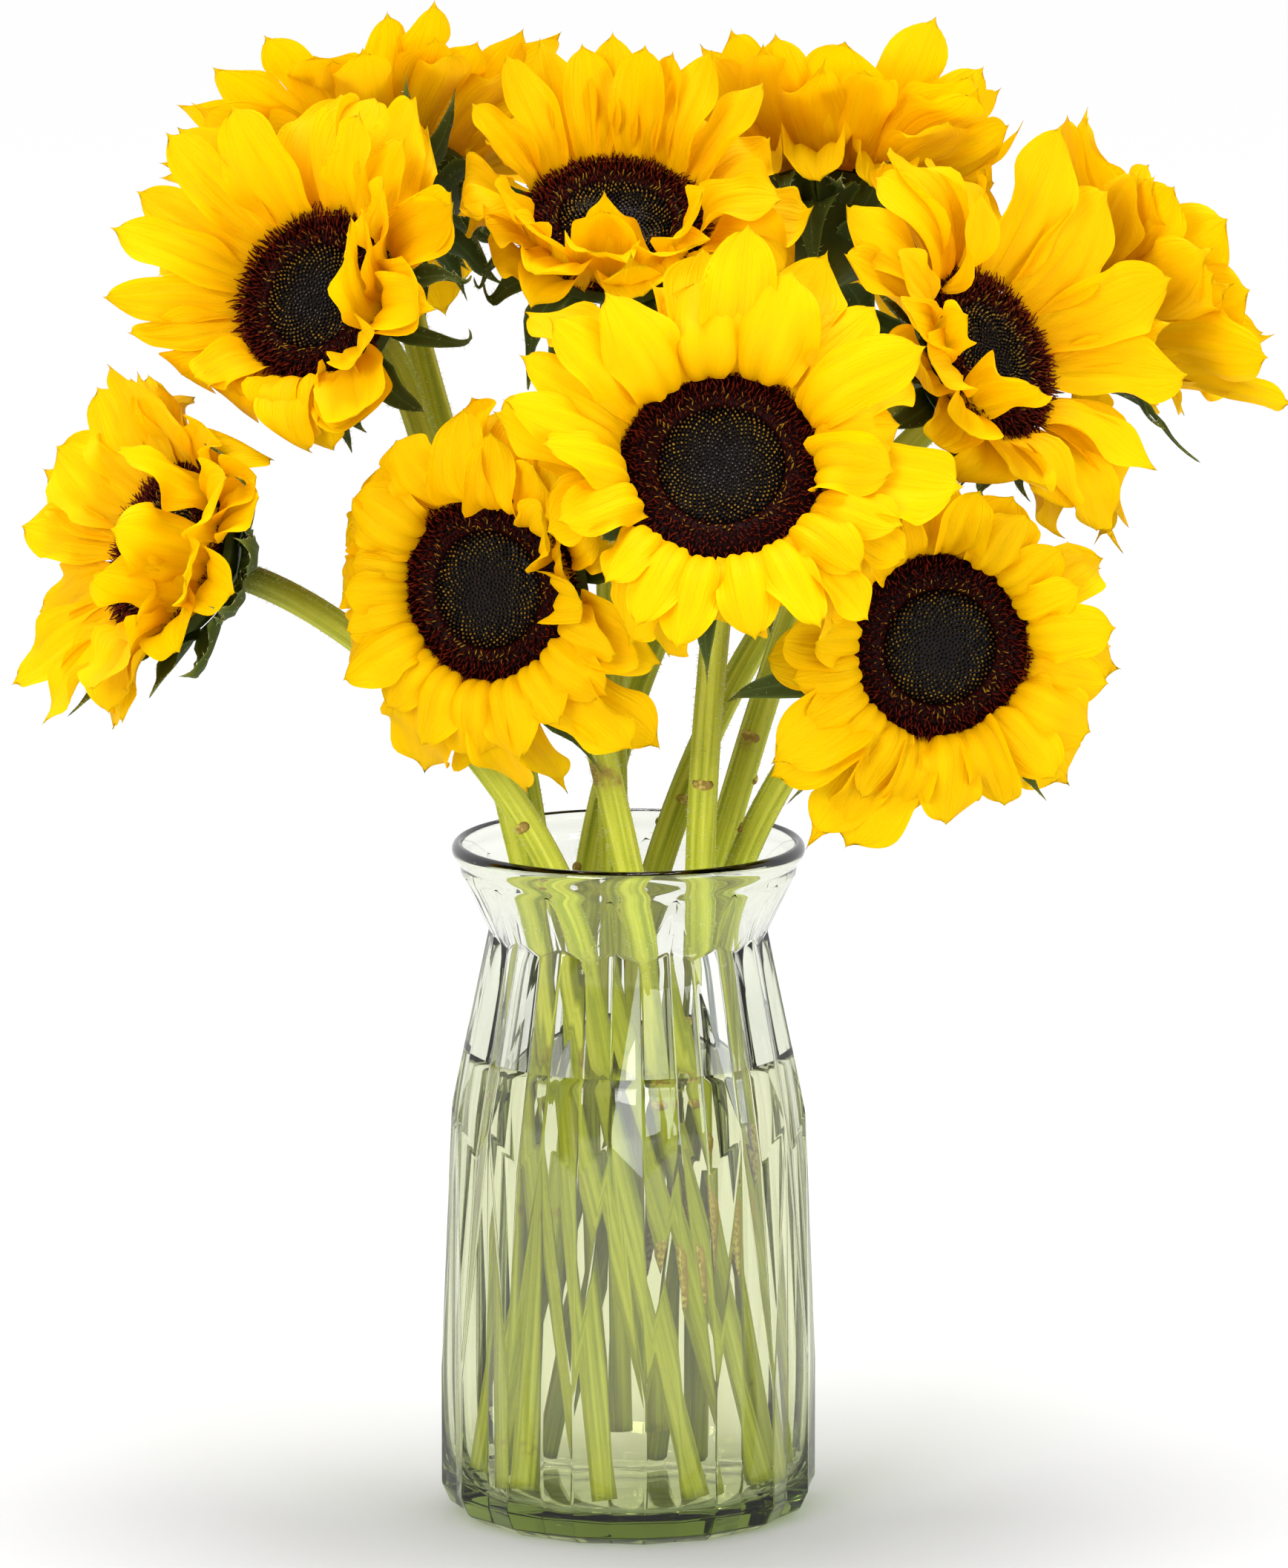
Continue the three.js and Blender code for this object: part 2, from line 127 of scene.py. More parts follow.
BUD_TRAITS = {"size": (0.5, 0.12, 41), "tall": (1, 0.3, 42), "tone": (0.5, 0.5, 43)}

# Outlines: a blade's width at its foot as a share, between which shares of its length it widens, from where
# it narrows, the two powers that shape its tip, and how wide its very end is.
PETAL_OUTLINE = {"foot": 0.4, "widens": (-0.05, 0.44), "narrows": 0.5, "powers": (2.7, 0.62), "end": 0.015}
BRACT_OUTLINE = {"foot": 0.62, "widens": (0, 0.3), "narrows": 0.22, "powers": (1.15, 1.05), "end": 0.02}
LONE_LOOKS = {"waves": 2.0, "wave": 0.22, "pleat": 0.1, "point": 0.06}
BRACT_LOOKS = {"waves": 2.2, "wave": 0.16, "pleat": -0.05, "point": 0.1, "outline": BRACT_OUTLINE}

# How a blade bends, in shares of its length: the stretch over which its slope turns, where its curl starts,
# how many times it buckles, where its cup is deepest and its least cup, how far its two edges' waves are out
# of step, where its pleats have set in, and where its point starts. The powers say how its rows of points
# crowd towards its tip, how suddenly its curl sets in, how close its waves keep to its edges, and how
# slender its point is.
SLOPE_TURNS = (-0.2, 0.72)
CURL_FROM = 0.55
BUCKLES = 1.1
CUP_AT = 0.45
LEAST_CUP = 0.12
EDGE_STEP = 0.21
PLEATS = 3  # half waves from a petal's middle to its edge
PLEAT_FROM = 0.2
POINT_FROM = 0.75
ROWS_POWER, CURL_POWER, WAVE_POWER, POINT_POWER = 1.3, 1.5, 2.5, 1.6
THINS_ACROSS, THINS_ALONG = 4, 8  # powers that say how close to its rim a blade keeps its thickness

# How the petals on one side of a bloom differ, by the flower's number: the side's angle in degrees round
# the disc and how far to either side of it this reaches, degrees added to the rise at the root and at the
# tip, and the length as a share.
SIDES = {
    1: [(90, 110, 0, 30, 0.96), (270, 70, 20, 50, 0.85), (215, 45, 34, 40, 0.8)],
    2: [(0, 70, 24, 50, 0.88), (120, 90, 0, 22, 1.1), (275, 60, 22, -10, 0.8)],
    3: [(0, 80, 18, 34, 0.8), (300, 70, 60, 60, 0.6), (160, 80, 0, 20, 1.12)],
    4: [(90, 90, 12, -12, 1), (270, 90, 12, -24, 0.96), (0, 45, 10, 20, 0.75)],
    5: [
        (90, 50, 12, -6, 0.98), (215, 45, 26, 20, 0.78), (275, 60, 18, -56, 0.7), (325, 40, 0, -6, 1.08),
        (10, 50, 4, 10, 0.96),
    ],
    6: [(80, 60, 16, 8, 0.98), (180, 50, 14, 6, 0.78), (270, 60, 2, -24, 0.94), (0, 55, 0, -10, 1.12)],
    7: [(180, 70, -4, 34, 0.86), (0, 75, 4, 46, 1.14)],
    8: [(180, 180, 6, 60, 0.96), (270, 90, 60, 54, 0.86)],
    9: [(90, 100, 0, 12, 1)],
    10: [(90, 100, 0, 26, 1)],
}
# Petals that stand on their own, by their flower's number: the angle round its disc, length and width in mm,
# rise at the root and at the tip, curl, cup and roll in degrees, and sway as a share of the length. How a
# petal differs from these also goes by its place in the whole table, so new ones are put at its end.
LONE_PETALS = [
    (1, [
        (208, 40, 22, 84, 68, 0, 40, -10, 0), (316, 46, 21, 92, 52, 0, 48, 24, -0.1),
        (146, 41, 17, 64, 40, 10, 50, 10, 0), (131, 42, 17, 78, 54, 0, 60, -14, 0),
        (116, 43, 17, 70, 48, 10, 60, 14, 0), (103, 42, 20, 84, 62, 0, 50, -10, 0),
        (89, 43, 18, 72, 56, 0, 66, 14, 0), (76, 43, 20, 84, 60, 0, 50, 0, 0),
        (63, 42, 17, 72, 52, 10, 66, -14, 0), (49, 42, 18, 82, 56, 0, 50, 14, 0),
        (34, 41, 18, 70, 44, 10, 60, -10, 0),
    ]),
    (2, [
        (118, 44, 26, 66, 30, 0, 40, 0, 0), (141, 45, 19, 56, 22, 10, 50, 10, 0),
        (158, 45, 18, 50, 16, 0, 50, -8, 0), (174, 45, 19, 56, 18, 10, 50, 12, 0),
        (190, 45, 18, 46, 12, 0, 50, -8, 0), (207, 45, 19, 52, 16, 10, 44, 10, 0),
        (-82, 34, 30, 108, -20, 0, 40, 0, 0),
    ]),
    (3, [
        (160, 43, 30, 40, 20, 10, 40, 0, 0), (136, 42, 24, 48, 14, 0, 30, 10, 0),
        (112, 42, 22, 50, 24, 10, 30, -10, 0), (88, 42, 24, 50, 30, 10, 30, 10, 0.05),
        (184, 44, 21, 36, 12, 10, 30, 10, 0), (206, 44, 21, 32, 2, 10, 30, -10, 0),
        (228, 46, 23, 34, 0, 10, 30, 10, 0), (252, 44, 24, 42, 2, 0, 34, 10, 0),
        (278, 30, 17, 46, 4, 0, 40, 0, 0), (54, 40, 27, 86, 76, 10, 36, 0, 0),
        (26, 36, 24, 40, -6, 0, 34, 0, 0), (4, 38, 26, 98, 84, 0, 36, 0, 0),
        (-60, 42, 30, 76, 44, 0, 50, 8, 0), (-30, 40, 28, 94, 72, 0, 56, -10, 0),
    ]),
    (4, [
        (148, 43, 28, 144, -6, 0, -50, 0, 0), (119, 46, 25, 100, 16, 0, -30, 0, 0),
        (94, 43, 22, 128, 10, 10, 40, 14, 0), (75, 41, 20, 136, 0, 10, 60, 24, 0),
        (57, 37, 22, 136, 6, 0, -50, -10, 0), (40, 35, 22, 138, 10, 20, 60, -20, 0),
        (21, 31, 18, 138, 16, 20, -50, -14, 0.05), (3, 33, 20, 138, 10, 10, 60, 20, 0),
        (345, 33, 20, 138, 0, 10, -60, 14, 0), (326, 33, 20, 136, -10, 0, -60, 10, 0),
        (307, 33, 19, 140, -20, 10, -60, -10, 0), (288, 33, 22, 138, -24, 0, -50, 10, 0),
        (268, 34, 23, 136, -30, 0, -60, -10, 0), (248, 35, 23, 138, -24, 0, -60, 10, 0),
        (231, 33, 19, 144, -20, 0, -60, -10, 0), (214, 41, 22, 150, -6, 0, -56, 14, 0),
        (198, 31, 18, 146, 0, 0, -60, 0, 0), (185, 28, 15, 146, 10, 10, -60, 10, 0),
        (173, 28, 15, 144, 10, 10, -60, -10, 0),
    ]),
    (7, [
        (216, 36, 26, 98, 66, 10, 44, 12, 0), (168, 38, 18, 58, 46, 10, 50, 20, 0.05),
        (148, 44, 20, 50, 30, 10, 40, -10, 0), (30, 52, 28, 58, 38, 0, 44, 0, 0),
        (4, 53, 26, 56, 38, 0, 44, 8, 0), (56, 52, 26, 54, 30, 0, 40, -6, 0),
        (-22, 52, 24, 52, 32, 10, 40, 10, 0),
    ]),
    (8, [
        (168, 43, 26, 40, 34, 10, 44, 6, 0), (196, 43, 26, 44, 40, 0, 40, -8, 0),
        (222, 44, 25, 56, 50, 10, 44, -6, 0), (140, 43, 25, 46, 36, 0, 44, 6, 0),
        (182, 40, 30, 64, 52, 0, 40, 0, 0), (209, 40, 30, 64, 56, 0, 40, 0, 0),
        (154, 42, 30, 60, 50, 0, 40, 0, 0),
    ]),
    (4, [
        (180, 58, 20, 26, -6, 0, 40, 8, 0), (160, 58, 20, 30, -6, 0, 40, -8, 0),
        (200, 56, 20, 24, -10, 0, 40, 8, 0),
    ]),
    (5, [
        (99, 50, 38, 150, -16, 0, -50, 0, 0), (69, 48, 34, 146, -6, 0, -50, -8, 0),
        (84, 48, 24, 84, 10, 0, 20, 8, 0), (127, 51, 28, 144, 0, 0, -40, 14, 0.05),
        (146, 48, 21, 103, 24, 0, -40, -10, 0), (160, 47, 20, 103, 14, 0, -40, 12, -0.1),
        (176, 46, 20, 103, 20, 0, -40, -10, -0.12), (190, 45, 21, 132, 24, 0, -46, 10, -0.12),
        (208, 40, 21, 140, 10, 0, -60, -14, 0), (229, 36, 20, 120, -4, 10, -50, 16, 0.05),
        (247, 39, 19, 112, -12, 0, -50, 10, 0), (262, 40, 20, 108, -18, 10, -46, -16, -0.05),
        (281, 39, 22, 112, -14, 0, -50, 4, 0), (300, 40, 20, 110, -10, 10, -50, -16, 0),
        (318, 38, 20, 114, -6, 0, -50, 18, 0), (336, 37, 19, 108, -6, 10, -50, -16, 0.05),
        (354, 31, 22, 136, -10, 0, 50, 24, 0), (12, 35, 26, 136, -8, 0, -60, 0, 0),
        (28, 51, 23, 124, 14, 10, -44, 24, 0), (47, 42, 21, 98, 4, 0, -40, -16, 0),
    ]),
    (6, [
        (62, 36, 22, 138, -8, 0, -50, 14, 0), (42, 30, 18, 142, 0, 10, -60, -12, 0),
        (24, 30, 17, 142, 10, 10, -60, 16, 0), (84, 42, 18, 84, 28, 10, 50, -18, 0.05),
        (104, 40, 18, 76, 20, 10, 50, 16, 0), (5, 36, 22, 124, -8, 0, -50, 12, 0),
        (347, 32, 20, 92, -18, 10, -50, -14, 0), (328, 39, 26, 134, -22, 0, -60, -10, 0),
        (308, 37, 22, 138, -24, 0, -60, 16, 0), (291, 39, 19, 138, -34, 10, 66, 28, 0),
        (272, 41, 23, 138, -44, 0, -56, -12, 0), (255, 34, 16, 96, -46, 10, 56, 18, 0),
        (240, 35, 18, 130, -48, 0, -56, -18, 0.05), (222, 34, 20, 134, -34, 10, -60, 12, 0),
        (206, 31, 19, 138, -20, 0, -60, -14, 0), (190, 33, 20, 138, -6, 10, -60, 16, 0),
        (172, 31, 20, 136, 0, 0, -50, -8, 0),
    ]),
    (9, [
        (92, 40, 28, 18, -70, 0, 50, 10, 0), (62, 38, 26, 10, -72, 0, 44, 0, 0),
        (120, 38, 25, 6, -72, 0, 44, -6, 0), (78, 46, 28, 34, 12, 0, 40, 0, 0),
        (106, 46, 28, 34, 12, 0, 40, 6, 0), (52, 48, 26, 38, 16, 0, 44, -8, 0),
        (134, 48, 26, 36, 10, 10, 44, 8, 0), (30, 48, 26, 40, 14, 10, 40, 8, 0),
        (156, 48, 26, 34, 0, 0, 40, -8, 0), (10, 48, 26, 36, 4, 0, 40, 0, 0),
        (180, 46, 26, 36, -6, 0, 40, 6, 0), (16, 52, 20, 78, 62, 10, 44, 20, 0),
        (38, 52, 22, 76, 68, 0, 44, -10, 0), (-6, 50, 20, 74, 52, 10, 44, 10, 0.05),
        (165, 48, 26, 56, 34, 10, 40, 8, 0), (146, 50, 26, 60, 44, 0, 40, -8, 0),
        (126, 50, 24, 66, 50, 0, 44, 8, 0), (186, 46, 24, 50, 24, 10, 44, 0, 0),
    ]),
    (10, [
        (97, 40, 20, 24, 8, 0, 44, 0, 0), (82, 43, 18, 30, 16, 10, 50, 10, 0),
        (112, 42, 18, 26, 12, 0, 50, -10, 0), (67, 44, 20, 24, 10, 10, 44, -8, 0),
        (128, 44, 20, 28, 12, 0, 44, 8, 0), (51, 45, 18, 32, 16, 0, 50, 10, 0),
        (144, 42, 18, 26, 8, 0, 50, -8, 0), (35, 46, 20, 30, 12, 10, 44, 10, 0),
        (160, 40, 20, 28, 0, 0, 40, 0, 0), (17, 46, 20, 34, 12, 0, 44, -8, 0),
        (0, 48, 19, 36, 8, 10, 40, 8, 0), (-16, 46, 20, 40, 8, 0, 40, 0, 0),
        (178, 42, 24, 36, -10, 0, 40, 0, 0),
    ]),
    (2, [
        (-12, 46, 20, 98, 86, 0, 60, 0, 0.42), (10, 43, 20, 88, 66, 0, 50, 14, 0.3),
        (29, 44, 20, 76, 54, 10, 50, -10, 0.2), (48, 45, 22, 66, 44, 0, 44, 10, 0.1),
        (67, 46, 22, 60, 36, 10, 44, -8, 0), (-34, 36, 20, 96, 30, 20, 56, 10, 0.1),
        (-52, 40, 20, 70, 0, 20, 50, -14, 0),
    ]),
    (5, [(312, 46, 16, 44, -26, 10, 50, -8, 0), (331, 44, 16, 50, -14, 10, 50, 10, 0)]),
]
# The same, for petals that taper from a broad foot.
TAPERED_PETALS = [
    (1, [(264, 35, 33, 116, 113, 0, 60, -1, -0.03)]),
]
# Bracts that stand on their own, in the same way.
LONE_BRACTS = [
    (1, [
        (186, 44, 10, 24, -30, 90, 60, 40, 0.2), (204, 40, 11, 4, -50, 110, 60, -40, -0.2),
        (224, 42, 14, -6, -60, 60, 50, 30, 0.1), (244, 40, 15, -12, -64, 20, 50, -20, 0),
        (318, 52, 12, 16, -24, 30, 50, 20, 0.1),
    ]),
    (2, [
        (-12, 38, 9, 30, -24, 110, 60, 60, 0.2), (22, 40, 10, 24, -30, 80, 60, -40, -0.2),
        (-44, 36, 13, 10, -40, 40, 50, 0, 0.1),
    ]),
    (3, [
        (58, 36, 20, 16, 50, 20, 50, 10, 0), (34, 35, 21, 4, 40, 30, 56, -16, 0),
        (10, 36, 22, -6, 30, 40, 56, 14, 0), (-16, 36, 22, -10, 30, 30, 56, -10, 0),
        (-42, 38, 21, 0, 20, 20, 50, 16, 0), (-70, 26, 18, 30, 30, 0, 50, 0, 0),
        (254, 42, 14, 20, 26, 0, 40, 0, 0),
    ]),
    (4, [
        (284, 46, 14, -34, -62, 10, 50, 20, 0.1), (262, 44, 9, -26, -50, 0, 50, -10, 0),
        (240, 38, 9, -10, -50, 0, 50, 10, 0),
    ]),
    (5, [(232, 44, 12, -16, -54, 20, 50, 20, 0), (262, 40, 12, -24, -64, 20, 50, -20, 0.1)]),
    (6, [(196, 44, 15, -18, -40, 20, 50, 20, 0), (232, 46, 10, -10, -30, 10, 50, -20, 0)]),
    (7, [
        (150, 34, 14, 56, 24, 30, 56, 20, 0), (176, 36, 15, 44, 4, 50, 60, -20, 0.1),
        (200, 36, 16, 34, -14, 50, 60, 20, -0.1), (226, 38, 15, 26, -24, 40, 56, -10, 0),
        (250, 38, 15, 20, -30, 20, 50, 10, 0),
    ]),
    (8, [(250, 34, 9, 46, 24, 10, 50, 20, 0.1)]),
    (9, [
        (76, 36, 17, 34, -50, 20, 50, 10, 0), (104, 36, 17, 30, -60, 40, 50, -10, 0),
        (90, 50, 20, -30, -84, 20, 50, 10, 0.1), (60, 40, 14, 0, -80, 60, 50, 30, 0.2),
    ]),
    (10, [
        (88, 38, 17, 12, 20, 10, 50, 0, 0), (66, 32, 12, 12, 18, 10, 50, 10, 0),
        (109, 30, 11, 12, 18, 10, 50, -10, 0),
    ]),
]

# Degrees further that a flower's other bracts stand up, by its number.
BRACTS_UP = {3: 30, 9: 20}
BRACT_ROOM = 14  # degrees within which a bract of a row gives way to one that stands on its own

# Disc, as shares of its radius and heights over its front in millimetres.
CROWN_SHARE = 0.6
DISC_BACK = -5.65
DISC_SIDES = 72
CROWN_OUTER = [(2.2, DISC_BACK), (0.6, -2.2), (2.6, 0.1), (6, 0.9)]  # in from the rim, and heights
CROWN_INNER = [(2, 0.6), (0.2, 0.0), (0, DISC_BACK)]  # out from the crown's inner edge, and heights
CROWN_ROWS = 9
CROWN_EDGES = (0.6, 0.8)  # from the inner edge to the first row's roots, and from the last row's to the rim
CROWN_DOME = (-0.4, 1.2)  # the roots' height at the crown's edges, and how much higher between them
# A crown's florets' length as a share, where petals close over them, by the flower's number.
PRESSED_CROWNS = {8: 0.5, 9: 0.5, 10: 0.5}
ROW_NUMBERS = 200  # more than the florets that any row has
FLORET_SPACING = 1.3
FLORET_LONG = 4.2
FLORET_WIDE = 0.74
FLORET_SIDES = 3
FLORET_LEVELS = np.array([0, 0.5, 0.94])
FLORET_WIDTHS = np.array([1, 0.8, 0.36])
FLORET_TIP = 0.04
OUTER_LEAN = 58  # degrees further that the outermost florets lean out
INNER_LONG = 0.62  # the innermost florets' length as a share
# Flowers whose discs are still grey at the middle. In the others they have turned brown.
SLATE_DISCS = (1, 2, 5)
MIDDLE_SIDES = 48
MIDDLE_SHARES = np.array([1.0, 1.0, 0.8, 0.6, 0.4, 0.2])
DOME_HIGH, DOME_BEND, DOME_CREST = 1.5, 1.2, 0.55  # mm, radians to its radius, and a share of its radius
UNDER_BUDS = 0.25  # how far the dome that carries the closed florets lies under them
BUD_SPACING = 1.42
BUD_PACKING = 3.6
BUD_SIDES = 4
BUD_ROOT = 0.5
BUD_WIDE = (0.72, 0.28)  # the innermost floret's width as a share, and how much more the outermost has
BUD_TALL = (0.75, 0.7)  # the same for their height, in millimetres
BUD_GROWS = (0.35, 0.95)  # from where to where they grow taller, as shares of the closed middle's radius
BUD_LEVELS = (0, 0.6, 0, 1)  # places along a closed floret: its foot, its shoulder and its two ends
BUD_SHOULDER = (0.62, 0.5)  # a closed floret's width there as a share, and its height as a share of its tip's
BUD_TILT = 1.01
GOLDEN_ANGLE = math.pi * (3 - math.sqrt(5))

# Stems and heads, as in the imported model.
STEM_RADIUS = 5.2
STEM_TOP_RADIUS = 4.6
NECK_Z = 190
NECK_CIRCLE = 29
FOOT_Z = 12
FOOT_CIRCLE = 42
SPIRAL = 100
MIDDLE_NECK = (-4, 4, 190)
MIDDLE_FOOT = (1, -10, 30)
START_PULL = 0.45
END_PULL = 0.2
BENT_LONG = 1.1  # the bent stretch's length beside the straight way
CUP_PROFILE = np.array([(0.34, -26), (0.68, -17), (0.92, -11.5), (1.05, -6)])
CUP_RINGS = 9
CUP_GAP = 4
STEM_SIDES = 30
STEM_STEP = 4.0
RIBS, RIB_SWAY, RIB_RUN = 9, 0.8, 60  # how many, how far they wander in radians, and mm to a radian of that
LUMPS, LUMP_RUN = 3, 17  # how many round the stem, and mm to a radian along it
RIB_HIGH = 0.045  # as a share of the stem's radius, as are the next three
LUMP_HIGH = 0.03
SUNK = 0.05
CUP_RIB = 0.02
DARK_RINGS = (-10, 2)  # rings before and after the stem's end over which the rind turns to the cup's green
BRACT_ROWS = [
    {"count": 10, "first": 0, "long": 1.0, "wide": 1.0, "drop": 0},
    {"count": 8, "first": 10, "long": 0.8, "wide": 0.9, "drop": -14},
    {"count": 7, "first": 18, "long": 0.66, "wide": 0.8, "drop": 14},
]
BRACT_RISES = [(22, -20), (0, -50)]  # in front and behind: degrees at the root and at the tip
BRACT_GRID = (13, 7)
BRACT_THICK = 0.9
BRACT_WIDE = 15
BRACT_IN_CUP = 0.5
DRAWS_FROM = 100  # the first stem's number for its own random draws
STEM_HAIRS = 1500
BRACT_HAIRS = 40
HAIR_LONG = 1.5
HAIR_WIDE = 0.17
HAIR_LENGTHS = (0.6, 1.3)  # shortest and longest as shares
HAIR_ASTRAY = 0.35
HAIR_SUNK = 0.25
HAIR_TURN = (0.3, 0.5, 0.8)  # any one direction, square to which each hair has its first corner
HAIRS_ABOVE = 30  # over the water
SCARS = 3
SCAR_HEIGHTS = (NECK_Z - 60, NECK_Z + 70)
SCAR_SIZE = (1.3, 0.6)  # the least, and how much more the largest has
SCAR_WIDE = 1.5
SCAR_PROFILE = np.array([(1.25, -0.9), (1.0, 0.2), (0.7, 0.75), (0.45, 0.55)])  # sizes as shares, and heights
SCAR_ENDS = (-0.9, 0.4)
SCAR_SIDES = 10
# Torn leaf bases left on stems, by the flower's number: height, bearing from +X, length and width.
LEAF_BASES = {3: (96, 236, 22, 10), 4: (112, 262, 30, 13), 5: (128, 290, 20, 10), 6: (100, 310, 24, 11)}
LEAF_BASE_GRID = (9, 7)
LEAF_BASE_TORN = 0.94  # how much of a whole bract's outline is left
LEAF_BASE_SUNK = 0.94  # how far out it is rooted, as a share of the stem's radius
LEAF_BASE_CURL, LEAF_BASE_FOLD, LEAF_BASE_RIPPLE = 2.4, 1.6, 0.5  # millimetres
LEAF_BASE_WAVES = (9, 4)  # in radians along it and across it
WET_AND_SHADED_ABOVE = 12  # how far above the neck the stems start to darken: wet rind and painted shade inside the vase

# Vase, as in the imported model: height and radius at a corner, then midway between corners.
PANELS = 16
PANEL_TURN = 5.3
OUTSIDE = [
    {"corner": (0, 53), "midway": (0, 51.5)},
    {"corner": (3, 58), "midway": (2.5, 55.4)},
    {"corner": (9, 60.8), "midway": (8, 57.6)},
    {"corner": (47, 60.8), "midway": (47, 58.2), "crease": "corner"},
    {"corner": (120, 55), "midway": (132, 57.4), "crease": "midway"},
    {"corner": (188, 43.4), "midway": (191, 45), "crease": "corner"},
]
LIP = [(208, 53.2), (209.2, 54.3), (210.4, 54.5), (211.4, 53.7), (212.6, 54.0), (213.6, 55.3), (214.8, 56.5),
       (216.8, 57.0), (218.6, 56.5), (219.8, 55.0), (220, 54.0)]
LIP_STEP = 1.2
WALL_STEP = 5
LEAST_FOLD = 2.5  # degrees
FOLD_ROUND = 0.7
INSIDE = [(218.4, 53.0), (207, 49.0), (190, 41.2), (168, 44.8), (132, 52.2), (40, 55.6), (14, 53.5), (8, 46)]
PUNT = [(0.0, 50.0), (0.5, 46.0), (1.8, 38.0), (2.6, 24.0), (2.8, 8.0)]
FLOOR_CROWN = [(8.6, 38.0), (9.4, 24.0), (9.6, 8.0)]
PANEL_CUTS = 6
SOFTENINGS, SOFTENING = 3, 0.5  # how many times, and how far each time
WATER_Z = 150
WATER_OVERLAP = 0.12
WATER_SIDES = 3 * PANELS * PANEL_CUTS // 2
FLOOR_RADIUS = 50  # inside this the water's underside lies on the floor of the vase
MENISCUS = 1.0
MENISCUS_REACH = 1.5
SURFACE_SHARES = [1.0, 0.995, 0.985, 0.97, 0.95, 0.92, 0.85, 0.7, 0.5, 0.25]

# Finishes: sizes of patterns in millimetres.
VEIN_MM, PETAL_WIDE_MM, WANDER_MM, PETAL_LONG_MM = 1.2, 24, 30, 45
VEIN_SHIFT = 40.0  # how far apart in their pattern two petals' veins may lie
VEIN_HIGH_MM = 1.0
STREAK_MM, RUN_MM = 2.0, 80
MARK_MM, DOWN_MM, BRACT_DOWN_MM, CORK_MM = 16, 0.6, 0.7, 1.5
ALONG_MM = 100  # a stem's place along itself counts in steps of this
HAIR_TINT_MM = 1.0
TOOTH_MM = 27  # a board's own tooth is too fine to show, so it is drawn far coarser
GLASS_IOR, WATER_IOR = 1.52, 1.333
GLASS_DENSITY, WATER_DENSITY = 42.0, 6.0

# Light: lamps with their place, target and side in metres, power in watts and colour.
LAMPS = [
    ("key_lamp", (-1.3, -2.4, 1.3), (0, 0, 0.3), 1.2, 52, "#FFFFFF"),
    ("fill_lamp", (1.8, -1.8, 0.7), (0, 0, 0.25), 1.2, 30, "#F2F7FF"),
]
OVERHEAD_SPREAD = 34  # degrees that the light from above is spread over, which softens its shadow
OVERHEAD_LEAN = 3  # degrees that it leans to the back
FRONT_SHARE = 0.32  # the room's light on the viewer's side, as a share of the rest
FRONT_TO_REST = (-1.0, 0.2)  # from where to where it grows to the rest, along Y

# Camera: where it stands in millimetres, how far it is pitched down, and how many of the photo's pixels
# its focal length measures.
CAMERA_PLACE = (5, -3908, 962)
CAMERA_DOWN = 10.5
FOCAL_PIXELS = 16715
IMAGE_HEIGHT = 2114
SENSOR_WIDTH = 36
SEES_TO = 60  # metres
BOUNCES, CLEAR_BOUNCES = 20, 24


def vary(flower, piece, trait):
    """A number from -1 to 1 that is always the same for a flower, a piece of it and a trait."""
    s = math.sin(flower * 12.9898 + piece * 78.233 + trait * 37.719) * 43758.5453
    return 2 * (s - math.floor(s)) - 1


def varied(traits, flower, piece):
    """The value of each trait for one piece of a flower."""
    return {
        name: mean + spread * vary(flower, piece, number) for name, (mean, spread, number) in traits.items()
    }


def smooth(low, high, x):
    """0 below low and 1 above high, with an even curve between."""
    t = np.clip((x - low) / (high - low), 0, 1)
    return t * t * (3 - 2 * t)


def linear(code):
    """The linear colour of an sRGB hex value, with an alpha of 1."""
    shares = [int(code[k:k + 2], 16) / 255 for k in (1, 3, 5)]
    return tuple(c / 12.92 if c < 0.04045 else ((c + 0.055) / 1.055) ** 2.4 for c in shares) + (1.0,)


# Meshes


def unit(vectors):
    """The vectors at length 1."""
    return vectors / np.maximum(np.linalg.norm(vectors, axis=-1, keepdims=True), 1e-9)


def turns(count):
    """Angles evenly round a circle."""
    return np.arange(count) * 2 * math.pi / count


def circle(radius, angles, height):
    """Points at angles round the axis. Columns of radii and heights give a row of points each."""
    return np.stack(np.broadcast_arrays(radius * np.cos(angles), radius * np.sin(angles), height), -1)


def turned(points, angle):
    """Points turned round the axis."""
    cos, sin = math.cos(angle), math.sin(angle)
    return points @ np.array([[cos, sin, 0], [-sin, cos, 0], [0, 0, 1]])


def put(name, data):
    """A new object in the scene."""
    made = bpy.data.objects.new(name, data)
    bpy.context.scene.collection.objects.link(made)
    return made


def read(items, name, width=1):
    """A whole-number attribute of a mesh's items, as one array."""
    values = np.empty(width * len(items), np.int32)
    items.foreach_get(name, values)
    return values


def quads(grid):
    """A face for each cell of a grid of points."""
    return np.stack([grid[:-1, :-1], grid[1:, :-1], grid[1:, 1:], grid[:-1, 1:]], -1).reshape(-1, 4)


def loft_faces(rows, columns, closed_ends=True):
    """Faces of a tube through rings, closed at its ends by two more points."""
    grid = np.arange(rows * columns).reshape(rows, columns)
    grid = np.hstack([grid, grid[:, :1]])
    faces = [quads(grid)[:, [0, 3, 2, 1]]]
    if closed_ends:
        first, last = np.full((2, columns), rows * columns) + [[0], [1]]
        faces.append(np.stack([first, grid[0, 1:], grid[0, :-1]], -1))
        faces.append(np.stack([last, grid[-1, :-1], grid[-1, 1:]], -1))
    return faces


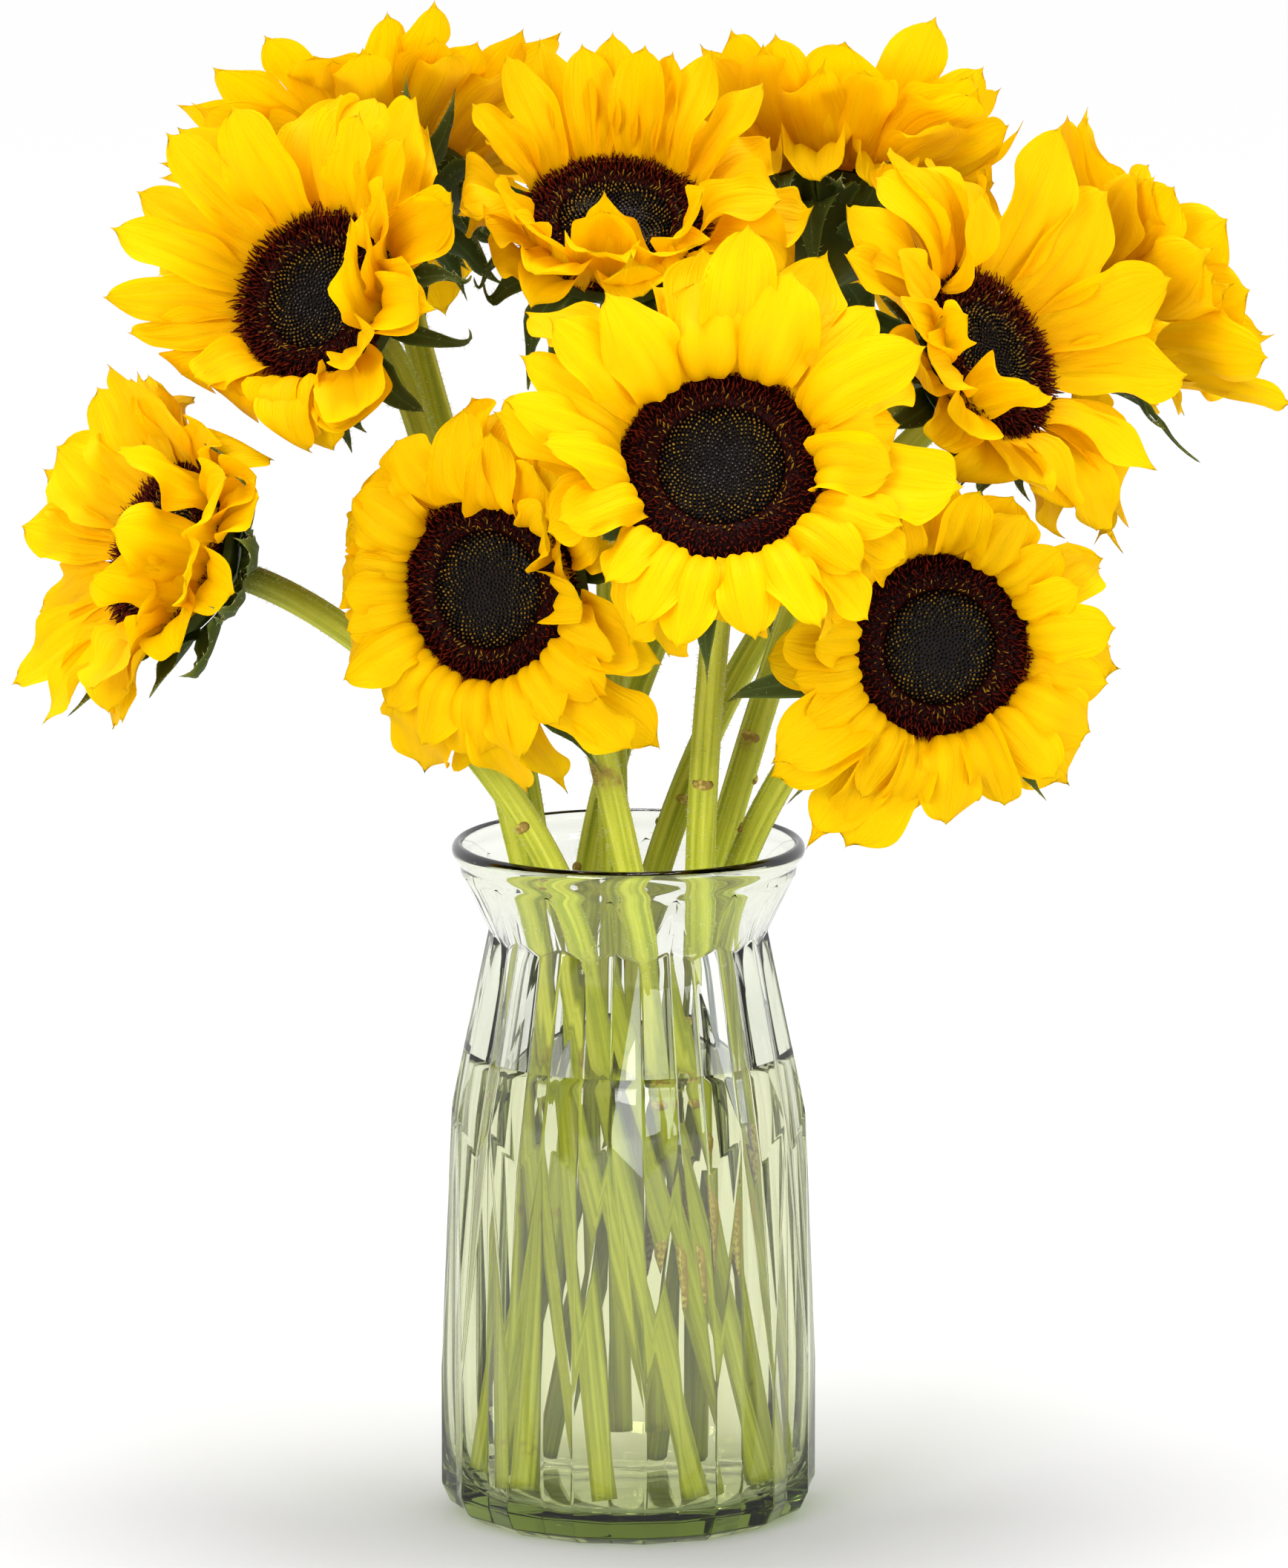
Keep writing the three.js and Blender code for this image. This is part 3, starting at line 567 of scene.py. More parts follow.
class Pile:
    """Collects the parts of one mesh: points in mm, faces, places on the part, tones and finishes."""

    def __init__(self):
        self.points, self.places, self.tones, self.rims = [], [], [], []
        self.faces, self.finishes = [], []
        self.count = 0

    def add(self, points, faces, places, tone=0.5, finish=0, rim=None):
        """Adds a part. rim marks the points along sharp margins."""
        n = len(points)
        self.points.append(points)
        self.places.append(places)
        self.tones.append(np.broadcast_to(tone, n))
        self.rims.append(np.zeros(n, bool) if rim is None else rim)
        for block in faces:
            self.faces.extend((block + self.count).tolist())
            self.finishes.append(np.full(len(block), finish))
        self.count += n

    def add_sheet(self, middle, thick, tone, finish=0):
        """Adds a thin closed sheet along a grid of points. It thins to nothing at its rim."""
        rows, columns = middle.shape[:2]
        normal = unit(np.cross(np.gradient(middle, axis=0), np.gradient(middle, axis=1)))
        t = np.linspace(0, 1, rows)[:, None]
        s = np.linspace(-1, 1, columns)[None, :]
        offset = normal * (thick / 2 * (1 - s ** THINS_ACROSS) * (1 - (2 * t - 1) ** THINS_ALONG))[..., None]
        place = np.stack(np.broadcast_arrays((s + 1) / 2, t), -1)
        # The back has no rim of its own: it shares the front's.
        inside = (slice(1, -1), slice(1, -1))
        front = np.arange(rows * columns).reshape(rows, columns)
        back = front.copy()
        back[inside] = rows * columns + np.arange((rows - 2) * (columns - 2)).reshape(rows - 2, columns - 2)
        rim = np.ones((rows, columns), bool)
        rim[inside] = False
        points = np.concatenate([(middle + offset).reshape(-1, 3), (middle - offset)[inside].reshape(-1, 3)])
        places = np.concatenate([place.reshape(-1, 2), place[inside].reshape(-1, 2)])
        rims = np.append(rim.ravel(), rim[inside].ravel())
        self.add(points, [quads(front), quads(back)[:, ::-1]], places, tone, finish, rims)

    def add_loft(self, rings, ends, along, tone=0.5, finish=0):
        """Adds a closed tube through rings that run anticlockwise seen from its last end."""
        rows, columns = rings.shape[:2]
        place = np.stack(np.broadcast_arrays(np.arange(columns) / columns, along[:, None]), -1).reshape(-1, 2)
        places = np.concatenate([place, [[0.5, along[0]], [0.5, along[-1]]]])
        points = np.concatenate([rings.reshape(-1, 3), np.asarray(ends, float)])
        self.add(points, loft_faces(rows, columns), places, tone, finish)

    def object(self, name, materials):
        """The mesh object, in metres."""
        mesh = bpy.data.meshes.new(name)
        mesh.from_pydata((np.concatenate(self.points) * MM).tolist(), [], self.faces)
        for material in materials:
            mesh.materials.append(material)
        mesh.polygons.foreach_set("material_index", np.concatenate(self.finishes).astype(np.int32))
        mesh.polygons.foreach_set("use_smooth", np.ones(len(mesh.polygons), bool))
        self.write_places(mesh)
        tone = mesh.attributes.new("tone", "FLOAT", "POINT")
        tone.data.foreach_set("value", np.concatenate(self.tones).astype(np.float32))
        ends = read(mesh.edges, "vertices", 2).reshape(-1, 2)
        sharp = mesh.attributes.new("sharp_edge", "BOOLEAN", "EDGE")
        sharp.data.foreach_set("value", np.concatenate(self.rims)[ends].all(axis=1))
        mesh.update()
        return put(name, mesh)

    def write_places(self, mesh):
        """Writes each point's place as a UV. A face that crosses the seam of a tube reads on past 1."""
        starts = read(mesh.polygons, "loop_start")
        uv = np.concatenate(self.places)[read(mesh.loops, "vertex_index")]
        across = uv[:, 0]
        wide = np.maximum.reduceat(across, starts) - np.minimum.reduceat(across, starts) > 0.5
        sizes = np.diff(np.append(starts, len(uv)))
        uv[:, 0] = across + (np.repeat(wide, sizes) & (across < 0.5))
        mesh.uv_layers.new(name="Place").data.foreach_set("uv", uv.astype(np.float32).ravel())


# Flowers


class Flower:
    """One bloom: its own axes (to its right, up, and ahead), its place, and its neighbours' walls."""

    def __init__(self, index, disc, turn, lift, radius, neck, spread, close):
        self.index, self.number, self.label = index, index + 1, f"{index + 1:02d}"
        self.radius, self.neck, self.spread, self.close = radius, neck, spread, close
        self.disc = np.array(disc, float)
        t, e = math.radians(turn), math.radians(lift)
        facing = np.array([math.sin(t) * math.cos(e), -math.cos(t) * math.cos(e), math.sin(e)])
        right = unit(np.cross([0, 0, 1], facing))
        self.axes = np.stack([right, np.cross(facing, right), facing])
        others = [np.array(other[0], float) - self.disc for other in FLOWERS]
        ways = [way for way in others if 0 < np.linalg.norm(way) < NEIGHBOUR_REACH]
        self.walls = [(np.linalg.norm(way) / 2, unit(way)) for way in ways]
        low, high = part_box("middle_" + self.label)
        away = np.linalg.norm((np.array(low) + np.array(high)) / 2 / MM - self.disc)
        if away > 2 * abs(DISC_BACK):
            raise RuntimeError(f"flower {self.label} isn't where the packed model has it")

    def at(self, points):
        """Points of the flower's own frame, taken to the bunch."""
        return points @ self.axes + self.disc

    def place(self, points):
        """The same, bent back from the planes midway to the neighbours."""
        points = self.at(points)
        for half, way in self.walls:
            over = (points - self.disc) @ way - half + PRESS
            held = PRESS_DEPTH * (1 - np.exp(-np.maximum(over, 0) / PRESS_DEPTH))
            points = points + np.where(over > 0, held - over, 0)[..., None] * way
        return points

    def crowding(self, angle):
        """How much a direction in the plane of the disc points to the middle of the bunch, from -1 to 1."""
        inward = unit(BUNCH_MIDDLE - self.disc)
        return float(inward @ (np.array([math.cos(angle), math.sin(angle), 0]) @ self.axes))

    def cup_root(self, ring):
        """Where bracts grow between two rings of the cup: out from the stem's line, and how high."""
        share, height = (CUP_PROFILE[ring - 1] + CUP_PROFILE[ring]) / 2
        return self.radius * share + BRACT_IN_CUP, height


FLOWER_LIST = [Flower(index, *values) for index, values in enumerate(FLOWERS)]


def outline(shape, t):
    """A blade's width along its length, as a share: it widens from its foot and narrows to its tip."""
    foot = shape["foot"] + (1 - shape["foot"]) * smooth(*shape["widens"], t)
    near_tip = np.clip((t - shape["narrows"]) / (1 - shape["narrows"]), 0, 1)
    first, second = shape["powers"]
    return foot * np.maximum(1 - near_tip ** first, 0) ** second * (1 - shape["end"]) + shape["end"]


def blade(form, flower, grid):
    """The middle surface of a petal or bract, from its root to its tip and from edge to edge.

    rise is its slope in degrees at the root and at the tip, curl turns the last of it further up, cup is
    how far its edges come round, or fall back where it is below 0, wave and pleat ripple it, and point
    draws out its tip.
    """
    rows, columns = grid
    t = (1 - (1 - np.linspace(0, 1, rows)) ** ROWS_POWER)[:, None]
    s = np.linspace(-1, 1, columns)[None, :]
    long, half = form["long"], form["wide"] / 2 * outline(form["outline"], t)
    slope = form["rise"][0] + (form["rise"][1] - form["rise"][0]) * smooth(*SLOPE_TURNS, t)
    slope = slope + form["curl"] * np.clip((t - CURL_FROM) / (1 - CURL_FROM), 0, 1) ** CURL_POWER
    slope = np.radians(slope + form["buckle"] * np.sin(2 * math.pi * (BUCKLES * t + form["phase"])) * t)
    step, between = np.diff(t, axis=0) * long, (slope[1:] + slope[:-1]) / 2
    out, high = (
        start + np.concatenate([[[0]], np.cumsum(step * part(between), axis=0)])
        for start, part in zip(form["root"], (np.cos, np.sin))
    )
    bend = np.radians(form["cup"]) * (0.5 + 0.5 * np.cos(2 * math.pi * (t - CUP_AT)))
    bend = bend + math.copysign(LEAST_CUP, form["cup"])
    side = half * np.sin(bend * s) / bend
    lift = half * (1 - np.cos(bend * s)) / bend
    ripple = np.sin(2 * math.pi * (form["waves"] * t + form["phase"] + EDGE_STEP * np.sign(s)))
    lift = lift + half * form["wave"] * np.abs(s) ** WAVE_POWER * ripple
    pleats = half * form["pleat"] * np.cos(PLEATS * math.pi * s)
    lift = lift - pleats * smooth(0, PLEAT_FROM, t) * (1 - t ** 3)
    ahead = form["point"] * long * (1 - np.abs(s)) ** POINT_POWER * smooth(POINT_FROM, 1.0, t)
    turn = np.radians(form["roll"]) * t
    above = side * np.sin(turn) + lift * np.cos(turn)
    x = out - np.sin(slope) * above + np.cos(slope) * ahead
    y = form["sway"] * long * t ** 2 + side * np.cos(turn) - lift * np.sin(turn)
    z = high + np.cos(slope) * above + np.sin(slope) * ahead
    return flower.place(turned(np.stack(np.broadcast_arrays(x, y, z), -1), form["angle"]))


def apart(first, second):
    """The degrees between two directions."""
    return abs((first - second + 180) % 360 - 180)


def lone_rows(table):
    """The rows of a table of petals or bracts that stand on their own, each after its flower's number."""
    return [(number, *row) for number, rows in table for row in rows]


def beside_lone(flower, table, angle, room):
    """Whether a petal or bract that stands on its own is within some degrees of an angle."""
    own = [row[1] for row in lone_rows(table) if row[0] == flower.number]
    return any(apart(math.degrees(angle), other) < room for other in own)


def side_of(flower, angle):
    """What a bloom's sides add to a petal at an angle: to its rise at root and tip, and times its length."""
    root, tip, long = 0, 0, 1
    for at, reach, more_root, more_tip, share in SIDES.get(flower.number, ()):
        near = math.cos(math.pi / 2 * min(apart(math.degrees(angle), at) / reach, 1)) ** 2
        root, tip, long = root + more_root * near, tip + more_tip * near, long * (1 + (share - 1) * near)
    return root, tip, long


def lone_forms(flower, table, **looks):
    """The form of each petal or bract of a flower that stands on its own."""
    for piece, row in enumerate(lone_rows(table)):
        number, angle, long, wide, rise, tip_rise, curl, cup, roll, sway = row
        if number == flower.number:
            form = varied(LONE_TRAITS, number, piece)
            form["rise"] = (rise + form["root_rise"], tip_rise + form["tip_rise"])
            form["long"] *= long
            form["roll"] += roll
            form["sway"] += sway
            yield {**form, "angle": math.radians(angle), "wide": wide, "curl": curl, "cup": cup, **looks}


def petal_forms(flower, sizes):
    """The form of each petal of a flower, from the front row to the back."""
    for row in PETAL_ROWS:
        for k in range(row["count"]):
            piece = row["first"] + row["step"] * k
            astray = row["astray"] * vary(flower.index, piece, 1)
            angle = 2 * math.pi * (row["start"] + row["step"] * k + 0.5 + astray) / row["of"]
            if beside_lone(flower, LONE_PETALS, angle, row["room"]):
                continue
            form = varied(PETAL_TRAITS, flower.index, piece)
            inward = flower.crowding(angle)
            root, tip, share = side_of(flower, angle)
            form["long"] *= sizes.petal_length / MM * flower.spread * row["long"] * share
            form["wide"] *= sizes.petal_width / MM * row["wide"]
            form["point"] *= row["point"]
            form["rise"] = (
                row["rise"][0] + flower.close + root + CROWDED_RISE[0] * inward + form["root_rise"],
                row["rise"][1] + flower.close + tip + CROWDED_RISE[1] * inward + form["tip_rise"],
            )
            yield {**form, "angle": angle, "root": (flower.radius + RING_OUT, RING_HEIGHT + row["height"]),
                   "pleat": PETAL_PLEAT, "outline": PETAL_OUTLINE}


def make_petals(flower, sizes, finish):
    """All ray florets of one bloom."""
    pile = Pile()
    looks = {"root": (flower.radius + RING_OUT, RING_HEIGHT + LONE_HEIGHT), **LONE_LOOKS}
    lone = lone_forms(flower, LONE_PETALS, outline=PETAL_OUTLINE, **looks)
    tapered = lone_forms(flower, TAPERED_PETALS, outline=BRACT_OUTLINE, **looks)
    for form in [*petal_forms(flower, sizes), *lone, *tapered]:
        pile.add_sheet(blade(form, flower, PETAL_GRID), sizes.petal_thickness / MM, form["tone"])
    return pile.object("ray_petals_" + flower.label, [finish])


# Disc


def make_crown(flower, finish):
    """The crown: a dark ring packed with open florets that lean out over the petals."""
    pile = Pile()
    radius, inner = flower.radius, flower.radius * CROWN_SHARE
    profile = np.array([(inner, DISC_BACK)] + [(radius - step, h) for step, h in CROWN_OUTER]
                       + [(inner + step, h) for step, h in CROWN_INNER])
    rings = circle(profile[:, :1], turns(DISC_SIDES), profile[:, 1:])
    places = np.stack(np.broadcast_arrays(profile[:, :1] / radius, np.zeros(rings.shape[:2])), -1)
    faces = loft_faces(len(rings), DISC_SIDES, False)
    pile.add(flower.at(rings.reshape(-1, 3)), faces, places.reshape(-1, 2))
    for row in range(CROWN_ROWS):
        share = row / (CROWN_ROWS - 1)
        at = inner + CROWN_EDGES[0] + (radius - inner - sum(CROWN_EDGES)) * share
        count = int(2 * math.pi * at / FLORET_SPACING)
        for k in range(count):
            traits = varied(FLORET_TRAITS, flower.index, row * ROW_NUMBERS + k)
            angle = 2 * math.pi * (k + 0.5 * (row % 2) + traits["shift"]) / count
            add_floret(pile, flower, at, share, angle, traits)
    return pile.object("crown_florets_" + flower.label, [finish])


def add_floret(pile, flower, at, share, angle, traits):
    """An open floret rooted at a radius: a slim tube that leans out and hooks over to its tip."""
    levels, around = FLORET_LEVELS, turns(FLORET_SIDES)
    long = FLORET_LONG * (INNER_LONG + (1 - INNER_LONG) * share) * traits["long"]
    long *= PRESSED_CROWNS.get(flower.number, 1)
    slopes = np.radians(traits["lean"] + OUTER_LEAN * share ** 2 + traits["hook"] * levels)
    steps = np.diff(levels, prepend=0) * long
    out = at + np.cumsum(steps * np.sin(slopes))
    high = CROWN_DOME[0] + CROWN_DOME[1] * math.sin(math.pi * share) + np.cumsum(steps * np.cos(slopes))
    aside = traits["twist"] * levels ** 2 * long
    across = (FLORET_WIDE * traits["wide"] / 2 * FLORET_WIDTHS)[:, None]
    rings = np.stack([
        out[:, None] + across * np.cos(around) * np.cos(slopes)[:, None],
        aside[:, None] + across * np.sin(around),
        high[:, None] - across * np.cos(around) * np.sin(slopes)[:, None],
    ], -1)
    ends = [[out[0], 0, high[0]], [out[-1], aside[-1], high[-1] + FLORET_TIP * long]]
    points = turned(np.concatenate([rings.reshape(-1, 3), ends]), angle)
    heights = np.append(np.repeat(levels, FLORET_SIDES), [0, 1])
    places = np.stack([np.full(len(heights), at / flower.radius), heights], -1)
    pile.add(flower.at(points), loft_faces(len(levels), FLORET_SIDES), places, traits["tone"])


def dome_height(share):
    """Height of the disc's closed middle at a share of its own radius: a low dome, dished at its centre."""
    return DOME_HIGH * (np.cos(DOME_BEND * (share - DOME_CREST)) - 1)


def make_middle(flower, finish):
    """The middle of the disc: closed florets packed along crossing spirals on a low dome."""
    pile = Pile()
    rim = flower.radius * CROWN_SHARE
    heights = dome_height(MIDDLE_SHARES) - UNDER_BUDS
    heights[0] = DISC_BACK
    rings = circle(rim * MIDDLE_SHARES[:, None], turns(MIDDLE_SIDES), heights[:, None])
    ends = [(0, 0, DISC_BACK), (0, 0, dome_height(0) - UNDER_BUDS)]
    shares = np.append(np.repeat(MIDDLE_SHARES, MIDDLE_SIDES), [0, 0]) * CROWN_SHARE
    points = flower.at(np.concatenate([rings.reshape(-1, 3), ends]))
    pile.add(points, loft_faces(len(rings), MIDDLE_SIDES), np.stack([shares, 0 * shares], -1))
    count = int((rim / BUD_SPACING) ** 2 * BUD_PACKING)
    for k in range(count):
        traits = varied(BUD_TRAITS, flower.index, k)
        share, angle = math.sqrt((k + 0.5) / count), k * GOLDEN_ANGLE
        size = BUD_SPACING * traits["size"] * (BUD_WIDE[0] + BUD_WIDE[1] * share)
        tip = BUD_ROOT + (BUD_TALL[0] + BUD_TALL[1] * smooth(*BUD_GROWS, share)) * traits["tall"]
        shoulder = BUD_ROOT + BUD_SHOULDER[1] * (tip - BUD_ROOT)
        foot = circle(rim * share, angle, dome_height(share) - BUD_ROOT)
        sizes, heights = np.array([[1], [BUD_SHOULDER[0]]]), np.array([[0], [shoulder]])
        rings = foot + circle(size * sizes, turns(BUD_SIDES) + angle, heights)
        ends = [foot, foot * (BUD_TILT, BUD_TILT, 1) + (0, 0, tip)]
        levels = np.repeat(BUD_LEVELS, [BUD_SIDES, BUD_SIDES, 1, 1])
        places = np.stack([np.full(len(levels), share * CROWN_SHARE), levels], -1)
        points = flower.at(np.concatenate([rings.reshape(-1, 3), ends]))
        pile.add(points, loft_faces(2, BUD_SIDES), places, traits["tone"])
    return pile.object("disc_middle_" + flower.label, [finish])


# Stems


def on_circle(radius, degrees, z):
    """A point on a level circle round the vase's axis."""
    return circle(radius, math.radians(degrees), z)


class Stem:
    """A stem's line: points from its foot to the back of its cup, about STEM_STEP apart, the way it runs
    at each, two directions square to that, which reach the cup without a twist, and its radius all round."""

    def __init__(self, flower):
        inside = flower.neck is None
        neck, foot = np.array([MIDDLE_NECK, MIDDLE_FOOT], float) if inside else (
            on_circle(NECK_CIRCLE, flower.neck, NECK_Z), on_circle(FOOT_CIRCLE, flower.neck + SPIRAL, FOOT_Z))
        facing = flower.axes[2]
        top = flower.disc + facing * (CUP_PROFILE[0][1] - STEM_RADIUS)
        way = np.linalg.norm(top - neck)
        start, end = neck + unit(neck - foot) * START_PULL * way, top - facing * END_PULL * way
        straight = np.linspace(0, 1, int(np.linalg.norm(neck - foot) / STEM_STEP))[:, None]
        t = np.linspace(0, 1, int(BENT_LONG * way / STEM_STEP))[1:, None]
        bent = neck * (1 - t) ** 3 + start * 3 * t * (1 - t) ** 2 + end * 3 * t ** 2 * (1 - t) + top * t ** 3
        self.points = np.concatenate([foot + (neck - foot) * straight, bent])
        self.ways = unit(np.gradient(self.points, axis=0))
        side, sides = flower.axes[0], []
        for way in self.ways[::-1]:
            side = unit(side - way * (side @ way))
            sides.append(side)
        self.sides = np.array(sides[::-1])
        self.others = np.cross(self.ways, self.sides)
        self.length = np.linalg.norm(np.diff(self.points, axis=0, prepend=self.points[:1]), axis=1).cumsum()
        at, around, i = self.length[:, None], turns(STEM_SIDES), flower.index
        ribs = RIB_HIGH * np.cos(RIBS * around + RIB_SWAY * np.sin(at / RIB_RUN + i))
        lumps = LUMP_HIGH * np.sin(LUMPS * around + at / LUMP_RUN + 2 * i)
        radius = STEM_RADIUS + (STEM_TOP_RADIUS - STEM_RADIUS) * np.linspace(0, 1, len(at))[:, None]
        self.wide = radius * (1 + ribs + lumps - SUNK)

    def out(self, rows, angles):
        """Directions square to the stem at some of its points, at angles round it."""
        return np.cos(angles)[..., None] * self.sides[rows] + np.sin(angles)[..., None] * self.others[rows]


def make_stem(flower, sizes, finishes):
    """A ribbed, hairy stem with its cup, its bracts and the scars of the leaves taken off."""
    draw = np.random.default_rng(DRAWS_FROM + flower.index)
    pile, stem, around = Pile(), Stem(flower), turns(STEM_SIDES)
    count = len(stem.points)
    rings = stem.points[:, None] + stem.wide[..., None] * stem.out(np.arange(count)[:, None], around)
    heights = np.linspace(CUP_PROFILE[0][1], CUP_PROFILE[-1][1], CUP_RINGS)
    radii = flower.radius * np.interp(heights, CUP_PROFILE[:, 1], CUP_PROFILE[:, 0])
    cup = circle(radii[:, None] * (1 + CUP_RIB * np.cos(RIBS * around)), around, heights[:, None])
    rings = np.concatenate([rings, flower.at(cup)])
    front = flower.at(np.array([0, 0, CUP_PROFILE[-1][1]]))
    along = np.concatenate([stem.length, stem.length[-1] + CUP_GAP + heights - heights[0]]) / ALONG_MM
    dark = np.repeat(smooth(*DARK_RINGS, np.arange(len(rings)) - count), STEM_SIDES)
    pile.add_loft(rings, [stem.points[0], front], along, np.append(dark, [0, 1]))
    lone = lone_forms(flower, LONE_BRACTS, root=flower.cup_root(2), **BRACT_LOOKS)
    for form in [*bract_forms(flower, sizes), *lone]:
        middle = blade(form, flower, BRACT_GRID)
        pile.add_sheet(middle, BRACT_THICK, form["tone"], 1)
        add_bract_hairs(pile, draw, middle)
    add_stem_hairs(pile, stem, draw)
    add_scars(pile, stem, draw)
    if flower.number in LEAF_BASES:
        add_leaf_base(pile, stem, *LEAF_BASES[flower.number])
    return pile.object("stem_" + flower.label + "_with_bracts", finishes)


def bract_forms(flower, sizes):
    """The form of each bract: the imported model's ten, and smaller ones between them."""
    for row in BRACT_ROWS:
        for k in range(row["count"]):
            piece = row["first"] + k
            form = varied(BRACT_TRAITS, flower.index, piece)
            angle = 2 * math.pi * (k + form["shift"]) / row["count"]
            if beside_lone(flower, LONE_BRACTS, angle, BRACT_ROOM):
                continue
            behind = piece % 2
            up = row["drop"] + BRACTS_UP.get(flower.number, 0)
            form["long"] *= sizes.bract_length / MM * row["long"]
            form["rise"] = (BRACT_RISES[behind][0] + up + form["root_rise"],
                            BRACT_RISES[behind][1] + up + form["tip_rise"])
            yield {**form, "angle": angle, "wide": BRACT_WIDE * row["wide"],
                   "root": flower.cup_root(2 - behind), **BRACT_LOOKS}


def add_needles(pile, root, out, draw):
    """Hairs, each a slim needle, that stand out from points along directions, a little astray."""
    count = len(root)
    way = unit(out + draw.normal(0, HAIR_ASTRAY, (count, 3)))
    tip = root + way * (HAIR_LONG * draw.uniform(*HAIR_LENGTHS, (count, 1)))
    a = unit(np.cross(way, HAIR_TURN)) * HAIR_WIDE / 2
    b = unit(np.cross(way, a)) * HAIR_WIDE / 2
    corners = np.stack([root + a, root - a / 2 + b, root - a / 2 - b, tip], 1)
    base = 4 * np.arange(count)[:, None]
    faces = np.concatenate([base + f for f in ([0, 1, 3], [1, 2, 3], [2, 0, 3], [0, 2, 1])])
    pile.add(corners.reshape(-1, 3), [faces], np.full((4 * count, 2), 0.5), 0.5, 2)


def add_stem_hairs(pile, stem, draw):
    """The down of a stem above the water."""
    row = draw.choice(np.flatnonzero(stem.points[:, 2] > WATER_Z + HAIRS_ABOVE), STEM_HAIRS)
    angle = draw.uniform(0, 2 * math.pi, STEM_HAIRS)
    column = np.round(angle / (2 * math.pi) * STEM_SIDES).astype(int) % STEM_SIDES
    out = stem.out(row, angle)
    shift = draw.uniform(-STEM_STEP / 2, STEM_STEP / 2, (STEM_HAIRS, 1))
    root = stem.points[row] + shift * np.cross(stem.sides[row], stem.others[row])
    add_needles(pile, root + out * (stem.wide[row, column, None] - HAIR_SUNK), out, draw)


def add_bract_hairs(pile, draw, middle):
    """Bristles along a bract's margins, and a few on its two faces."""
    normal = unit(np.cross(np.gradient(middle, axis=0), np.gradient(middle, axis=1)))
    across = unit(np.gradient(middle, axis=1))
    rows, columns = middle.shape[:2]
    row = draw.uniform(0.5, rows - 1.5, BRACT_HAIRS)
    low, rest = row.astype(int), (row % 1)[:, None]
    side = np.where(draw.random(BRACT_HAIRS) < 0.5, 0, columns - 1)
    on_face = draw.random(BRACT_HAIRS) < 0.5
    column = np.where(on_face, draw.integers(1, columns - 1, BRACT_HAIRS), side)
    root = middle[low, column] * (1 - rest) + middle[low + 1, column] * rest
    outward = across[low, column] * np.sign(side - 1)[:, None]
    facing = normal[low, column] * np.where(draw.random(BRACT_HAIRS) < 0.5, -1, 1)[:, None]
    add_needles(pile, root, np.where(on_face[:, None], facing, outward), draw)


def add_scars(pile, stem, draw):
    """The scars of leaves taken off: low oval knobs across the stem."""
    heights = stem.points[:, 2]
    rows = np.flatnonzero((heights > SCAR_HEIGHTS[0]) & (heights < SCAR_HEIGHTS[1]))
    for row in draw.choice(rows, SCARS, replace=False):
        column = draw.integers(STEM_SIDES)
        out = stem.out(row, turns(STEM_SIDES)[column])
        place = stem.points[row] + out * stem.wide[row, column]
        size = SCAR_SIZE[0] + SCAR_SIZE[1] * draw.random()
        oval = circle(size * SCAR_PROFILE[:, :1], turns(SCAR_SIDES), SCAR_PROFILE[:, 1:])
        rings = place + oval @ np.stack([SCAR_WIDE * np.cross(stem.ways[row], out), stem.ways[row], out])
        ends = [place + out * high for high in SCAR_ENDS]
        pile.add_loft(rings, ends, np.linspace(0, 1, len(rings)), 0.5, 3)


def add_leaf_base(pile, stem, height, bearing, long, broad):
    """A torn leaf base left on a stem: a short blade that curls away from it."""
    row = np.abs(stem.points[:, 2] - height).argmin()
    place, way, bearing = stem.points[row], stem.ways[row], on_circle(1, bearing, 0)
    away = unit(bearing - way * (way @ bearing))
    rows, columns = LEAF_BASE_GRID
    t, s = np.linspace(0, 1, rows)[:, None, None], np.linspace(-1, 1, columns)[None, :, None]
    ripple = LEAF_BASE_RIPPLE * np.sin(LEAF_BASE_WAVES[0] * t + LEAF_BASE_WAVES[1] * s)
    out = STEM_RADIUS * LEAF_BASE_SUNK + LEAF_BASE_CURL * t ** 2 - LEAF_BASE_FOLD * s ** 2 + ripple
    half = broad / 2 * outline(BRACT_OUTLINE, t * LEAF_BASE_TORN)
    middle = place - way * long * t + away * out + np.cross(way, away) * s * half
    pile.add_sheet(middle, BRACT_THICK, 0.5, 3)


# Vase and water


def round_rings(profile, columns, step):
    """Level rings down a profile of heights and radii, about a step apart."""
    angles = math.radians(PANEL_TURN) + turns(columns)
    rings = []
    for (z0, r0), (z1, r1) in zip(profile[:-1], profile[1:]):
        cuts = max(1, round(math.hypot(z1 - z0, r1 - r0) / step))
        rings += [circle(r0 + (r1 - r0) * t, angles, z0 + (z1 - z0) * t) for t in np.arange(cuts) / cuts]
    return rings + [circle(profile[-1][1], angles, profile[-1][0])]


def inside_rings(columns):
    """Rings over the lip, down the plain inside and over the floor, closer together on the lip.

    Their folds are rounded, by drawing each ring a little to the mean of the two beside it.
    """
    lip = round_rings(LIP + INSIDE[:1], columns, LIP_STEP)
    rings = np.array(lip + round_rings(INSIDE + FLOOR_CROWN, columns, WALL_STEP)[1:])
    for _ in range(SOFTENINGS):
        rings[1:-1] += SOFTENING * ((rings[2:] + rings[:-2]) / 2 - rings[1:-1])
    return rings


def facet_rings():
    """The stations of the outside that lie below its round lip, each with a point for every column."""
    angles = math.radians(PANEL_TURN) + turns(2 * PANELS)
    rings = []
    for station in OUTSIDE:
        z, r = np.array([station["corner"], station["midway"]] * PANELS).T
        rings.append(circle(r, angles, z))
    return rings


